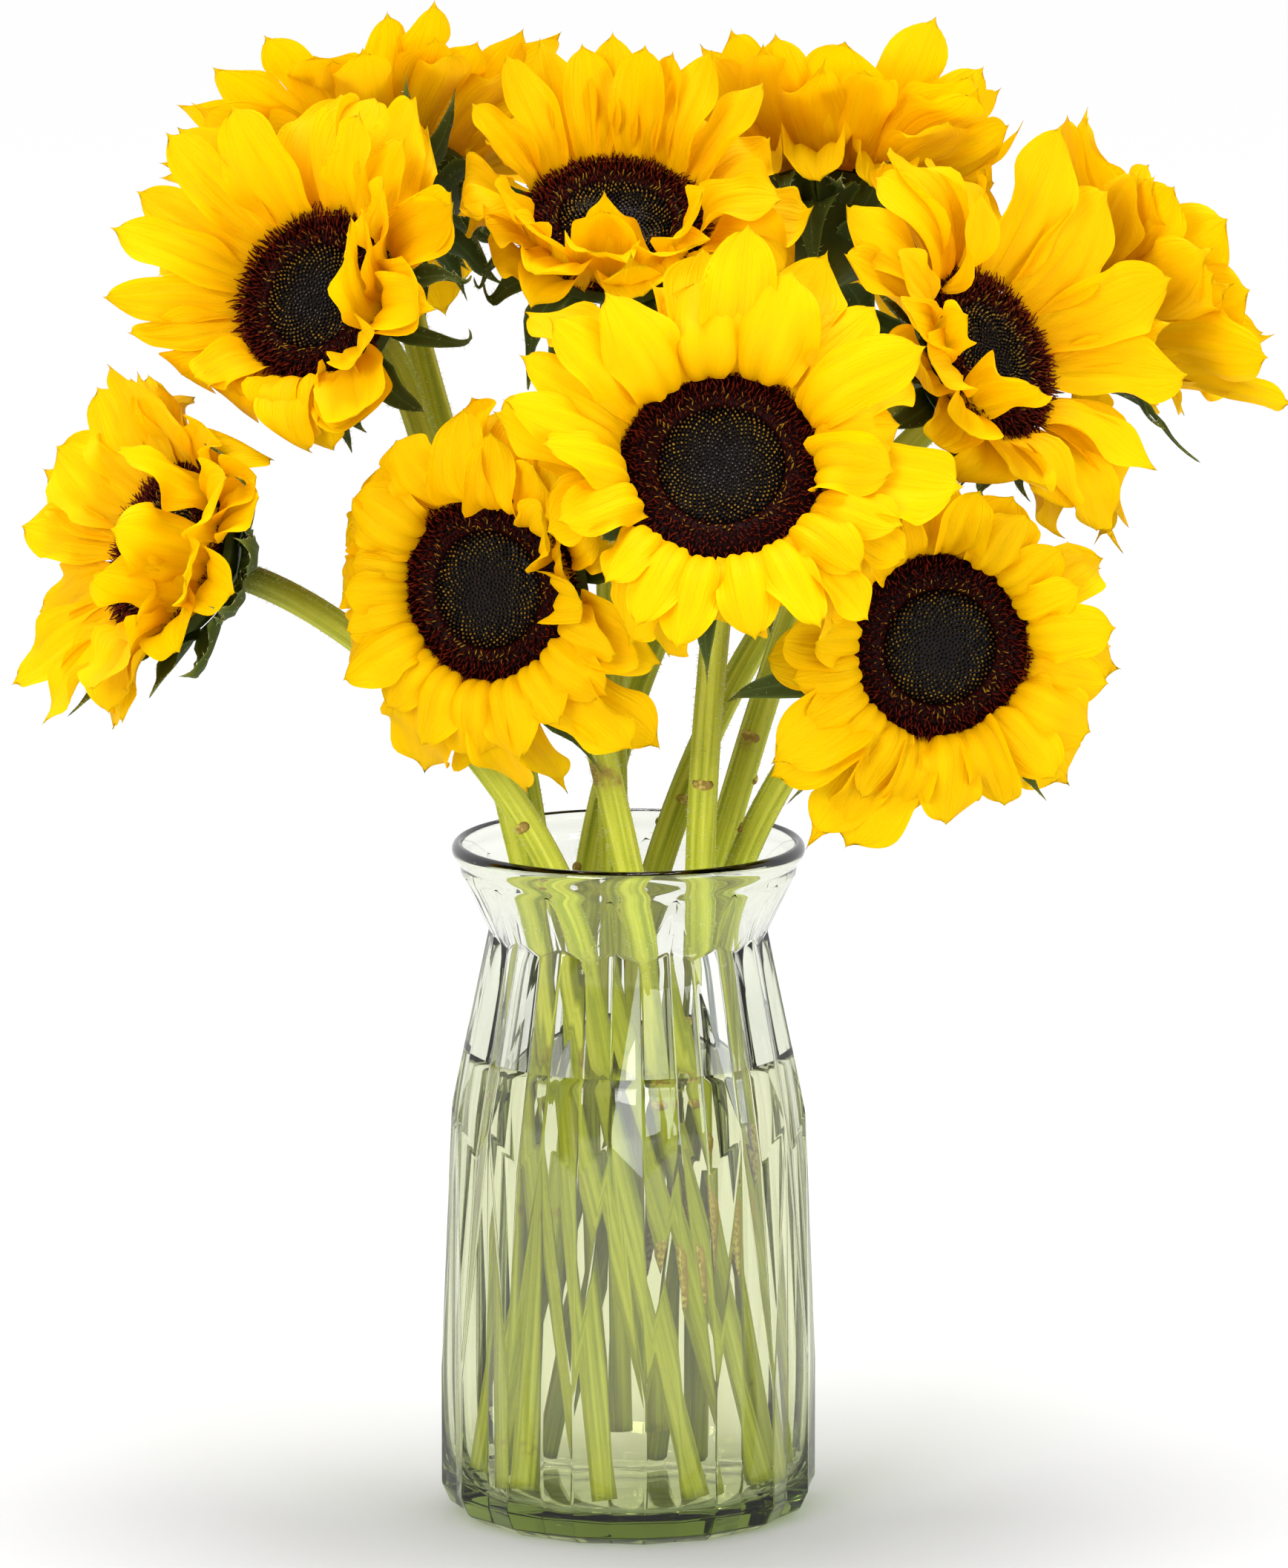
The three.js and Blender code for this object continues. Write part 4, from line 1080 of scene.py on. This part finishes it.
def facet_faces(base, lip):
    """Faces between the stations, split along their folds, and the fans that spread up to the lip's ring."""
    columns = 2 * PANELS
    faces = []
    for k, station in enumerate(OUTSIDE):
        for c in range(columns):
            a, b = base + k * columns + c, base + k * columns + (c + 1) % columns
            even, crease = c % 2 == 0, station.get("crease")
            if k + 1 == len(OUTSIDE):
                fine = [lip + (c * PANEL_CUTS + m) % (columns * PANEL_CUTS) for m in range(PANEL_CUTS + 1)]
                foot, far = (a, fine[-1]) if even else (b, fine[0])
                faces += [[a, b, far]] + [[foot, after, at] for at, after in zip(fine[:-1], fine[1:])]
            elif crease is None:
                faces.append([a, b, b + columns, a + columns])
            elif (crease == "corner") == even:
                faces += [[a, b, b + columns], [a, b + columns, a + columns]]
            else:
                faces += [[a, b, a + columns], [b, b + columns, a + columns]]
    return faces


def make_vase(finish):
    """The pressed-glass vase: flat panels outside with narrow rounded folds, plain inside, rolled lip."""
    columns = 2 * PANELS * PANEL_CUTS
    facets, fine = facet_rings(), inside_rings(columns)
    edge = OUTSIDE[0]["corner"][1]
    under = [facets[0] * (r / edge, r / edge, 0) + (0, 0, z) for z, r in PUNT]
    points = np.concatenate([np.concatenate(under[::-1] + facets), fine.reshape(-1, 3)])
    base = len(under) * 2 * PANELS
    start = base + len(facets) * 2 * PANELS
    faces = loft_faces(len(under) + 1, 2 * PANELS, False)[0].tolist()
    faces.append(list(range(2 * PANELS))[::-1])
    first = len(faces)
    faces += facet_faces(base, start)
    last = len(faces)
    faces += (loft_faces(len(fine), columns, False)[0] + start).tolist()
    faces.append(list(range(len(points) - columns, len(points))))
    mesh = bpy.data.meshes.new("glass_vase")
    mesh.from_pydata((points * MM).tolist(), [], faces)
    mesh.materials.append(finish)
    round_folds(mesh, first, last)
    made = put("glass_vase", mesh)
    made.modifiers.new("flat_panels", "WEIGHTED_NORMAL").weight = 100
    return made


def round_folds(mesh, first, last):
    """Rounds the folds between a mesh's panels, which are its faces from first to last."""
    shape = bmesh.new()
    shape.from_mesh(mesh)
    shape.faces.ensure_lookup_table()
    panels = set(shape.faces[first:last])
    folds = [
        edge for edge in shape.edges
        if len(edge.link_faces) == 2 and set(edge.link_faces) <= panels
        and edge.calc_face_angle() > math.radians(LEAST_FOLD)
    ]
    bmesh.ops.bevel(shape, geom=folds, offset=FOLD_ROUND * MM, offset_type="OFFSET", segments=3,
                    profile=0.5, affect="EDGES", clamp_overlap=True)
    for face in shape.faces:
        face.smooth = True
    shape.to_mesh(mesh)
    shape.free()


def make_water(finish):
    """The water, which reaches just into the glass, so that no air shows between them."""
    inside = inside_rings(WATER_SIDES)
    wet = inside[inside[:, 0, 2] < WATER_Z - 1][::-1]
    radius = np.linalg.norm(wet[..., :2], axis=-1, keepdims=True)
    wet = wet * np.concatenate([(radius + WATER_OVERLAP) / radius] * 2 + [np.ones_like(radius)], -1)
    wet[..., 2] -= np.where(radius[..., 0] < FLOOR_RADIUS, WATER_OVERLAP, 0)
    wall = np.linalg.norm(wet[-1, 0, :2])
    top = []
    for share in SURFACE_SHARES:
        ring = wet[-1] * (share, share, 0)
        ring[:, 2] = WATER_Z + MENISCUS * math.exp(-(1 - share) * wall / MENISCUS_REACH)
        top.append(ring)
    rings = np.concatenate([wet, top])
    pile = Pile()
    pile.add_loft(rings, [(0, 0, rings[0][0][2]), (0, 0, WATER_Z)], np.linspace(0, 1, len(rings)))
    return pile.object("vase_water", [finish])


# Finishes. Each function adds a material's nodes and gives what its output takes.


COLOURS = {"data_type": "RGBA"}
TINTED = {"data_type": "RGBA", "blend_type": "MULTIPLY"}
TIMES = {"operation": "MULTIPLY"}
LESS = {"operation": "SUBTRACT"}
EVENLY = {"interpolation_type": "SMOOTHSTEP"}


def add(tree, kind, inputs=(), stops=(), **settings):
    """Adds a shader node with its settings and links.

    inputs is a dict by socket name, or a list for the sockets in use, in order. Each is a value, a colour's
    hex code, an output that feeds the socket, or a node whose first output does.
    """
    node = tree.nodes.new("ShaderNode" + kind)
    for name, value in settings.items():
        setattr(node, name, value)
    if isinstance(inputs, dict):
        pairs = [(node.inputs[name], value) for name, value in inputs.items()]
    else:
        pairs = zip([socket for socket in node.inputs if socket.enabled], inputs)
    for socket, value in pairs:
        if isinstance(value, bpy.types.Node):
            value = next(output for output in value.outputs if output.enabled)
        if isinstance(value, bpy.types.NodeSocket):
            tree.links.new(value, socket)
        else:
            socket.default_value = linear(value) if isinstance(value, str) else value
    if stops:
        elements = node.color_ramp.elements
        while len(elements) < len(stops):
            elements.new(1)
        for element, (position, colour) in zip(elements, stops):
            element.position = position
            element.color = linear(colour) if isinstance(colour, str) else colour
    return node


def new_finish(name, build, *values):
    """A node material, whose nodes a function adds."""
    material = bpy.data.materials.new(name)
    material.use_nodes = True
    material.node_tree.nodes.clear()
    node = partial(add, material.node_tree)
    node("OutputMaterial", build(node, *values))
    return material


def places_of(node):
    """Outputs that give where a point lies on its own part: across, along, and the part's tone."""
    split = node("SeparateXYZ", [node("UVMap", uv_map="Place")])
    tone = node("Attribute", attribute_name="tone")
    return split.outputs["X"], split.outputs["Y"], tone.outputs["Fac"]


def grain_of(node, grain_mm, detail, strength, depth_mm):
    """A grain of a real size all over a piece, and the relief that it makes."""
    place = node("TexCoord").outputs["Object"]
    grain = node("TexNoise", {"Vector": place, "Scale": 1 / (grain_mm * MM), "Detail": detail})
    return grain, node("Bump", {"Height": grain, "Strength": strength, "Distance": depth_mm * MM})


def ray_floret(node, settings):
    """Ray floret: thin, slightly waxy tissue, which glows where light comes through from behind."""
    across, along, tone = places_of(node)
    # The ramp's orange at the root is partly the petal's own deeper base and partly painted shade where the
    # petals crowd round the disc.
    shade = node("ValToRGB", [along], stops=[
        (0.0, "#F49C00"), (0.15, "#FFCC00"), (0.36, settings.petal_colour), (1.0, "#FFD700"),
    ])
    # Veins run the petal's length about 1.2 mm apart, and wander a little.
    vein = node("TexNoise", {"Scale": 1.0, "Detail": 2.0, "Vector": node("CombineXYZ", [
        node("Math", [across, PETAL_WIDE_MM / VEIN_MM], **TIMES),
        node("Math", [along, PETAL_LONG_MM / WANDER_MM], **TIMES),
        node("Math", [tone, VEIN_SHIFT], **TIMES),
    ])})
    warm = node("Mix", [node("Math", [vein, 0.6], **TIMES), shade, "#FFC600"], **COLOURS)
    deep = node("Mix", [node("Math", [tone, 0.3], **TIMES), warm, "#FFD000"], **COLOURS)
    relief = node("Bump", {"Height": vein, "Strength": 0.7, "Distance": VEIN_HIGH_MM * MM})
    skin = node("BsdfPrincipled", {
        "Base Color": deep, "Roughness": 0.55, "Specular IOR Level": 0.06, "Normal": relief,
    })
    through = node("BsdfTranslucent", {"Color": "#FFEE00", "Normal": relief})
    return {"Surface": node("MixShader", [0.5, skin, through])}


def open_floret(node, settings):
    """Open disc floret: matt maroon tubes with redder recurved lobes, darkened to near black towards the foot
    as painted shade among the packed florets.
    """
    share, height, tone = places_of(node)
    red = node("Mix", [tone, settings.crown_colour, "#6A1C0A"], **COLOURS)
    # Some of the innermost florets still hold grains of gold.
    gold = node("Math", [
        node("MapRange", [tone, 0.55, 0.8], **EVENLY), node("MapRange", [share, 0.76, 0.62], **EVENLY),
    ], **TIMES)
    tip = node("Mix", [gold, red, settings.pollen_colour], **COLOURS)
    # Painted shade: near black at the foot of each floret and on the ground between them, rising to the tip's
    # colour.
    colour = node("Mix", [node("MapRange", [height, 0.1, 0.9], **EVENLY), "#180100", tip], **COLOURS)
    return {"Surface": node("BsdfPrincipled", {
        "Base Color": colour, "Roughness": 0.6, "Specular IOR Level": 0.06,
    })}


def closed_floret(node, settings, centre):
    """Closed disc floret: scales with olive and gold pollen on the tips of the outer ones, darkened to near
    black low down as painted shade among the packed florets.
    """
    share, height, tone = places_of(node)
    tips = node("ValToRGB", [node("Math", [share, CROWN_SHARE], operation="DIVIDE")], stops=[
        (0.0, centre), (0.35, centre), (0.6, "#6E5A20"), (0.85, settings.pollen_colour), (1.0, "#6A3A14"),
    ])
    speck = node("Mix", [node("MapRange", [tone, 0.1, 0.8], **EVENLY), "#20120A", tips], **COLOURS)
    # Painted shade: near black low on each floret and on the dome between them, rising to the tip's colour.
    colour = node("Mix", [node("MapRange", [height, 0.45, 0.95], **EVENLY), "#0C0604", speck], **COLOURS)
    return {"Surface": node("BsdfPrincipled", {
        "Base Color": colour, "Roughness": 0.5, "Specular IOR Level": 0.12,
    })}


def stem_rind(node, settings):
    """Stem: soft green rind with paler lengthwise ribs and rubbed brown marks, under a down of hairs."""
    around, along, tone = places_of(node)
    turn = node("Math", [around, 2 * math.pi], **TIMES)
    # A turn of the stem is 30 mm, and its streaks lie about 2 mm apart and run for 80 mm.
    streak = node("TexNoise", {"Scale": 1.0, "Detail": 3.0, "Vector": node("CombineXYZ", [
        node("Math", [node("Math", [turn], operation="COSINE"), STEM_RADIUS / STREAK_MM], **TIMES),
        node("Math", [node("Math", [turn], operation="SINE"), STEM_RADIUS / STREAK_MM], **TIMES),
        node("Math", [along, ALONG_MM / RUN_MM], **TIMES),
    ])})
    shade = node("ValToRGB", [streak], stops=[
        (0.3, "#86900E"), (0.5, settings.stem_colour), (0.7, "#CCCC50"),
    ])
    # Brown marks a few millimetres wide, and the fine down, a grain of about half a millimetre.
    place = node("TexCoord").outputs["Object"]
    mark = node("TexNoise", {"Vector": place, "Scale": 1 / (MARK_MM * MM), "Detail": 4.0})
    stained = node("Mix", [node("MapRange", [mark, 0.66, 0.76], **EVENLY), shade, "#8A6A2C"], **COLOURS)
    down, relief = grain_of(node, DOWN_MM, 1.0, 0.5, 0.3)
    frosted = node("Mix", [node("Math", [down, 0.3], **TIMES), stained, "#C4CE62"], **COLOURS)
    # Inside the vase the rind is darker: partly as it is wet and steeped, and partly as painted shade for the
    # light that the glass and water take away.
    height = node("SeparateXYZ", [place]).outputs["Z"]
    dry, wet = (NECK_Z + WET_AND_SHADED_ABOVE) * MM, (NECK_Z - WET_AND_SHADED_ABOVE) * MM
    wet_and_shaded = node("Mix", [node("MapRange", [height, dry, wet], **EVENLY), frosted, "#DCD8C4"], **TINTED)
    # The cup at the top of the stem is the dark green of the bracts.
    cupped = node("Mix", [tone, wet_and_shaded, settings.bract_colour], **COLOURS)
    return {"Surface": node("BsdfPrincipled", {
        "Base Color": cupped, "Roughness": 0.6, "Specular IOR Level": 0.15, "Subsurface Weight": 0.15,
        "Subsurface Radius": (0.004, 0.005, 0.002), "Subsurface Scale": 0.5, "Normal": relief,
    })}


def bract_leaf(node, settings):
    """Bract: a leathery dark green scale with a paler rib and margin and a down of short hairs."""
    across, along, _ = places_of(node)
    off = node("Math", [node("Math", [across, 0.5], **LESS)], operation="ABSOLUTE")
    near_edge = node("MapRange", [off, 0.36, 0.5], **EVENLY)
    edge = node("Mix", [near_edge, settings.bract_colour, "#5C6E28"], **COLOURS)
    rib = node("Mix", [node("MapRange", [off, 0.06, 0.0], **EVENLY), edge, "#4C6226"], **COLOURS)
    tip = node("Mix", [node("MapRange", [along, 0.7, 1.0], **EVENLY), rib, "#7D7F2C"], **COLOURS)
    down, relief = grain_of(node, BRACT_DOWN_MM, 1.0, 0.5, 0.3)
    frosted = node("Mix", [node("Math", [down, 0.12], **TIMES), tip, "#8A9A6A"], **COLOURS)
    skin = node("BsdfPrincipled", {
        "Base Color": frosted, "Roughness": 0.6, "Specular IOR Level": 0.1, "Normal": relief,
    })
    return {"Surface": node("MixShader", [0.15, skin, node("BsdfTranslucent", {"Color": "#6F9A2A"})])}


def leaf_scar(node):
    """Healed leaf scar: dry corky tissue, brown at the margin and straw-coloured in the middle."""
    across = places_of(node)[0]
    grain, relief = grain_of(node, CORK_MM, 3.0, 0.6, 0.5)
    off = node("Math", [node("Math", [across, 0.5], **LESS)], operation="ABSOLUTE")
    worn = node("Mix", [node("MapRange", [grain, 0.35, 0.65], **EVENLY), "#8E7434", "#C4B45C"], **COLOURS)
    colour = node("Mix", [node("MapRange", [off, 0.2, 0.48], **EVENLY), worn, "#92783A"], **COLOURS)
    return {"Surface": node("BsdfPrincipled", {
        "Base Color": colour, "Roughness": 0.8, "Specular IOR Level": 0.1, "Normal": relief,
    })}


def stem_hair(node):
    """Stem hair: clear, colourless fibre, which reads as a pale bloom round the stem."""
    place = node("TexCoord").outputs["Object"]
    grain = node("TexNoise", {"Vector": place, "Scale": 1 / (HAIR_TINT_MM * MM)})
    colour = node("Mix", [grain, "#C9D58C", "#EEF3CF"], **COLOURS)
    return {"Surface": node("BsdfPrincipled", {"Base Color": colour, "Roughness": 0.5})}


def clear_body(node, ior, tint, density, shade):
    """A clear body whose depth tints what is seen through it, and which lets the lamps' light pass."""
    body = node("BsdfPrincipled", {
        "Base Color": "#FFFFFF", "Roughness": 0.0, "IOR": ior, "Transmission Weight": 1.0,
    })
    lamps = node("LightPath").outputs["Is Shadow Ray"]
    return {
        "Surface": node("MixShader", [lamps, body, node("BsdfTransparent", {"Color": shade})]),
        "Volume": node("VolumeAbsorption", {"Color": tint, "Density": density}),
    }


def pressed_glass(node, settings):
    """Pressed soda-lime glass: fire-polished and smooth, green where the eye looks along its thickness."""
    return clear_body(node, GLASS_IOR, settings.glass_colour, GLASS_DENSITY, "#ECF2E8")


def tap_water(node, settings):
    """Tap water with a little sap in it: clear, and faintly yellow-green in its depth."""
    return clear_body(node, WATER_IOR, settings.water_colour, WATER_DENSITY, "#ECF0DE")


def white_board(node, settings):
    """Matt white board, seamless, with only the faintest tooth."""
    _, relief = grain_of(node, TOOTH_MM, 2.0, 0.02, 0.5)
    return {"Surface": node("BsdfPrincipled", {
        "Base Color": settings.floor_colour, "Roughness": 0.9, "Specular IOR Level": 0.1, "Normal": relief,
    })}


# Stage


def make_floor(settings):
    """The square floor, which is also all of the backdrop."""
    half = settings.floor_size / 2
    mesh = bpy.data.meshes.new("floor")
    corners = [(-half, -half, 0), (half, -half, 0), (half, half, 0), (-half, half, 0)]
    mesh.from_pydata(corners, [], [(0, 1, 2, 3)])
    mesh.materials.append(new_finish("matt_white_board", white_board, settings))
    put("floor", mesh)


def make_room(settings):
    """The room's light, darker on the viewer's side, so that the glass has dark lines and bright ones."""
    world = bpy.data.worlds.new("studio")
    world.use_nodes = True
    world.node_tree.nodes.clear()
    node = partial(add, world.node_tree)
    way = node("SeparateXYZ", [node("TexCoord").outputs["Generated"]]).outputs["Y"]
    front, rest = settings.room_light * FRONT_SHARE, settings.room_light
    light = node("MapRange", [way, *FRONT_TO_REST, front, rest])
    node("OutputWorld", {"Surface": node("Background", {"Color": "#FFFFFF", "Strength": light})})
    bpy.context.scene.world = world


def make_lamps(settings):
    """Two square studio lamps, and the soft light from above."""
    for name, place, target, size, power, colour in LAMPS:
        lamp = bpy.data.lights.new(name, "AREA")
        lamp.size, lamp.energy, lamp.color = size, power * settings.lamp_light, linear(colour)[:3]
        made = put(name, lamp)
        made.location = place
        made.rotation_euler = (Vector(target) - Vector(place)).to_track_quat("-Z", "Y").to_euler()
    overhead = bpy.data.lights.new("overhead_light", "SUN")
    overhead.energy, overhead.angle = settings.overhead_light, math.radians(OVERHEAD_SPREAD)
    put("overhead_light", overhead).rotation_euler = (math.radians(-OVERHEAD_LEAN), 0, 0)


def make_camera():
    """The camera, and how light that has passed through glass and water is shown."""
    camera = bpy.data.cameras.new("camera")
    camera.sensor_width = SENSOR_WIDTH
    camera.lens = FOCAL_PIXELS / IMAGE_HEIGHT * SENSOR_WIDTH
    camera.clip_end = SEES_TO
    seat = put("camera", camera)
    seat.location = [c * MM for c in CAMERA_PLACE]
    seat.rotation_euler = (math.radians(90 - CAMERA_DOWN), 0, 0)
    scene = bpy.context.scene
    scene.camera = seat
    scene.view_settings.view_transform = "Standard"
    scene.cycles.max_bounces = scene.cycles.transmission_bounces = BOUNCES
    scene.cycles.transparent_max_bounces = CLEAR_BOUNCES


def fit(piece, solid):
    """Says that a piece moves with the part, and hides the solid that it stands for."""
    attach(piece, "root")
    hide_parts(solid)


# Add-on


def colour_setting(name, description, code):
    """A colour that a user would change."""
    return bpy.props.FloatVectorProperty(
        name=name, description=description, default=linear(code), size=4, min=0, max=1, subtype="COLOR"
    )


def length_setting(name, description, size_mm):
    """A length that a user would change, shown in the scene's units."""
    return bpy.props.FloatProperty(
        name=name, description=description, default=size_mm * MM, min=0, unit="LENGTH", subtype="DISTANCE"
    )


def strength_setting(name, description, usual):
    """A light's strength that a user would change."""
    return bpy.props.FloatProperty(name=name, description=description, default=usual, min=0)


class SunflowerBloomSettings(bpy.types.PropertyGroup):
    """Sizes and colours of the blooms and stems."""

    petal_length: length_setting("Petal length", "Length of a usual ray floret", 45)
    petal_width: length_setting("Petal width", "Width of a usual ray floret", 24)
    petal_thickness: length_setting("Petal thickness", "Thickness of a ray floret along its middle", 0.5)
    bract_length: length_setting("Bract length", "Length of a usual bract", 31)
    petal_colour: colour_setting("Petal colour", "Colour of a ray floret past its base", "#FFD900")
    crown_colour: colour_setting("Crown colour", "Colour of the open florets round the disc", "#4A0A04")
    pollen_colour: colour_setting("Pollen colour", "Colour of the specks on the closed florets", "#A87C20")
    stem_colour: colour_setting("Stem colour", "Main colour of the stems", "#B2B428")
    bract_colour: colour_setting("Bract colour", "Main colour of the bracts", "#3C4812")


class SunflowerVaseSettings(bpy.types.PropertyGroup):
    """Colours of the vase and the water."""

    glass_colour: colour_setting("Glass tint", "Tint of the glass seen along its thickness", "#C2CE7A")
    water_colour: colour_setting("Water tint", "Tint of the water's depth", "#E2E464")


class SunflowerStageSettings(bpy.types.PropertyGroup):
    """The floor and the light."""

    floor_size: length_setting("Floor size", "Side of the square floor", 24000)
    floor_colour: colour_setting("Floor colour", "Colour of the matt floor", "#C5C5C5")
    room_light: strength_setting("Room light", "Strength of the even light from all round", 1.0)
    overhead_light: strength_setting("Overhead light", "Strength of the soft light from above", 2.9)
    lamp_light: strength_setting("Lamp light", "Strength of the lamps beside their usual", 1.0)


class SUNFLOWERS_OT_petals(bpy.types.Operator):
    """Make the ray petals of every bloom"""

    bl_idname = "sunflowers.petals"
    bl_label = "Ray petals"

    def execute(self, context):
        sizes = context.scene.sunflower_blooms
        finish = new_finish("ray_floret_tissue", ray_floret, sizes)
        for flower in FLOWER_LIST:
            fit(make_petals(flower, sizes, finish), "petals_" + flower.label)
        return {"FINISHED"}


class SUNFLOWERS_OT_crowns(bpy.types.Operator):
    """Make the open florets round every disc"""

    bl_idname = "sunflowers.crowns"
    bl_label = "Disc crowns"

    def execute(self, context):
        finish = new_finish("open_disc_floret", open_floret, context.scene.sunflower_blooms)
        for flower in FLOWER_LIST:
            fit(make_crown(flower, finish), "crown_" + flower.label)
        return {"FINISHED"}


class SUNFLOWERS_OT_middles(bpy.types.Operator):
    """Make the closed florets in the middle of every disc"""

    bl_idname = "sunflowers.middles"
    bl_label = "Disc middles"

    def execute(self, context):
        sizes = context.scene.sunflower_blooms
        ripe = new_finish("closed_disc_floret_ripe", closed_floret, sizes, "#45321C")
        slate = new_finish("closed_disc_floret_slate", closed_floret, sizes, "#5E5650")
        for flower in FLOWER_LIST:
            finish = slate if flower.number in SLATE_DISCS else ripe
            fit(make_middle(flower, finish), "middle_" + flower.label)
        return {"FINISHED"}


class SUNFLOWERS_OT_stems(bpy.types.Operator):
    """Make the stems with their cups, bracts and hairs"""

    bl_idname = "sunflowers.stems"
    bl_label = "Stems and bracts"

    def execute(self, context):
        sizes = context.scene.sunflower_blooms
        finishes = [
            new_finish("stem_rind", stem_rind, sizes),
            new_finish("bract_leaf", bract_leaf, sizes),
            new_finish("stem_hair", stem_hair),
            new_finish("corky_leaf_scar", leaf_scar),
        ]
        for flower in FLOWER_LIST:
            fit(make_stem(flower, sizes, finishes), "stem_" + flower.label)
        return {"FINISHED"}


class SUNFLOWERS_OT_vase(bpy.types.Operator):
    """Make the pressed-glass vase"""

    bl_idname = "sunflowers.vase"
    bl_label = "Vase"

    def execute(self, context):
        finish = new_finish("pressed_soda_lime_glass", pressed_glass, context.scene.sunflower_vase)
        fit(make_vase(finish), "vase")
        return {"FINISHED"}


class SUNFLOWERS_OT_water(bpy.types.Operator):
    """Make the water in the vase"""

    bl_idname = "sunflowers.water"
    bl_label = "Water"

    def execute(self, context):
        finish = new_finish("vase_water", tap_water, context.scene.sunflower_vase)
        fit(make_water(finish), "water")
        return {"FINISHED"}


class SUNFLOWERS_OT_stage(bpy.types.Operator):
    """Make the floor, the lamps and the camera"""

    bl_idname = "sunflowers.stage"
    bl_label = "Stage"

    def execute(self, context):
        settings = context.scene.sunflower_stage
        make_floor(settings)
        make_room(settings)
        make_lamps(settings)
        make_camera()
        return {"FINISHED"}


OPERATORS = [
    SUNFLOWERS_OT_stage,
    SUNFLOWERS_OT_vase,
    SUNFLOWERS_OT_water,
    SUNFLOWERS_OT_stems,
    SUNFLOWERS_OT_petals,
    SUNFLOWERS_OT_crowns,
    SUNFLOWERS_OT_middles,
]
SETTINGS = {
    "sunflower_blooms": SunflowerBloomSettings,
    "sunflower_vase": SunflowerVaseSettings,
    "sunflower_stage": SunflowerStageSettings,
}


class SUNFLOWERS_PT_pieces(bpy.types.Panel):
    """Settings and pieces of the sunflowers in a vase"""

    bl_idname = "SUNFLOWERS_PT_pieces"
    bl_label = "Sunflowers in a vase"
    bl_space_type = "VIEW_3D"
    bl_region_type = "UI"
    bl_category = "Sunflowers"

    def draw(self, context):
        for holder, group in SETTINGS.items():
            box = self.layout.box()
            for name in group.__annotations__:
                box.prop(getattr(context.scene, holder), name)
        for operator in OPERATORS:
            self.layout.operator(operator.bl_idname)


CLASSES = [*SETTINGS.values(), *OPERATORS, SUNFLOWERS_PT_pieces]


def register():
    for kind in CLASSES:
        bpy.utils.register_class(kind)
    for holder, group in SETTINGS.items():
        setattr(bpy.types.Scene, holder, bpy.props.PointerProperty(type=group))


def unregister():
    for holder in SETTINGS:
        delattr(bpy.types.Scene, holder)
    for kind in reversed(CLASSES):
        bpy.utils.unregister_class(kind)


def main():
    """Registers the add-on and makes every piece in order."""
    register()
    for operator in OPERATORS:
        family, name = operator.bl_idname.split(".")
        getattr(getattr(bpy.ops, family), name)()


if __name__ == "__main__":
    main()
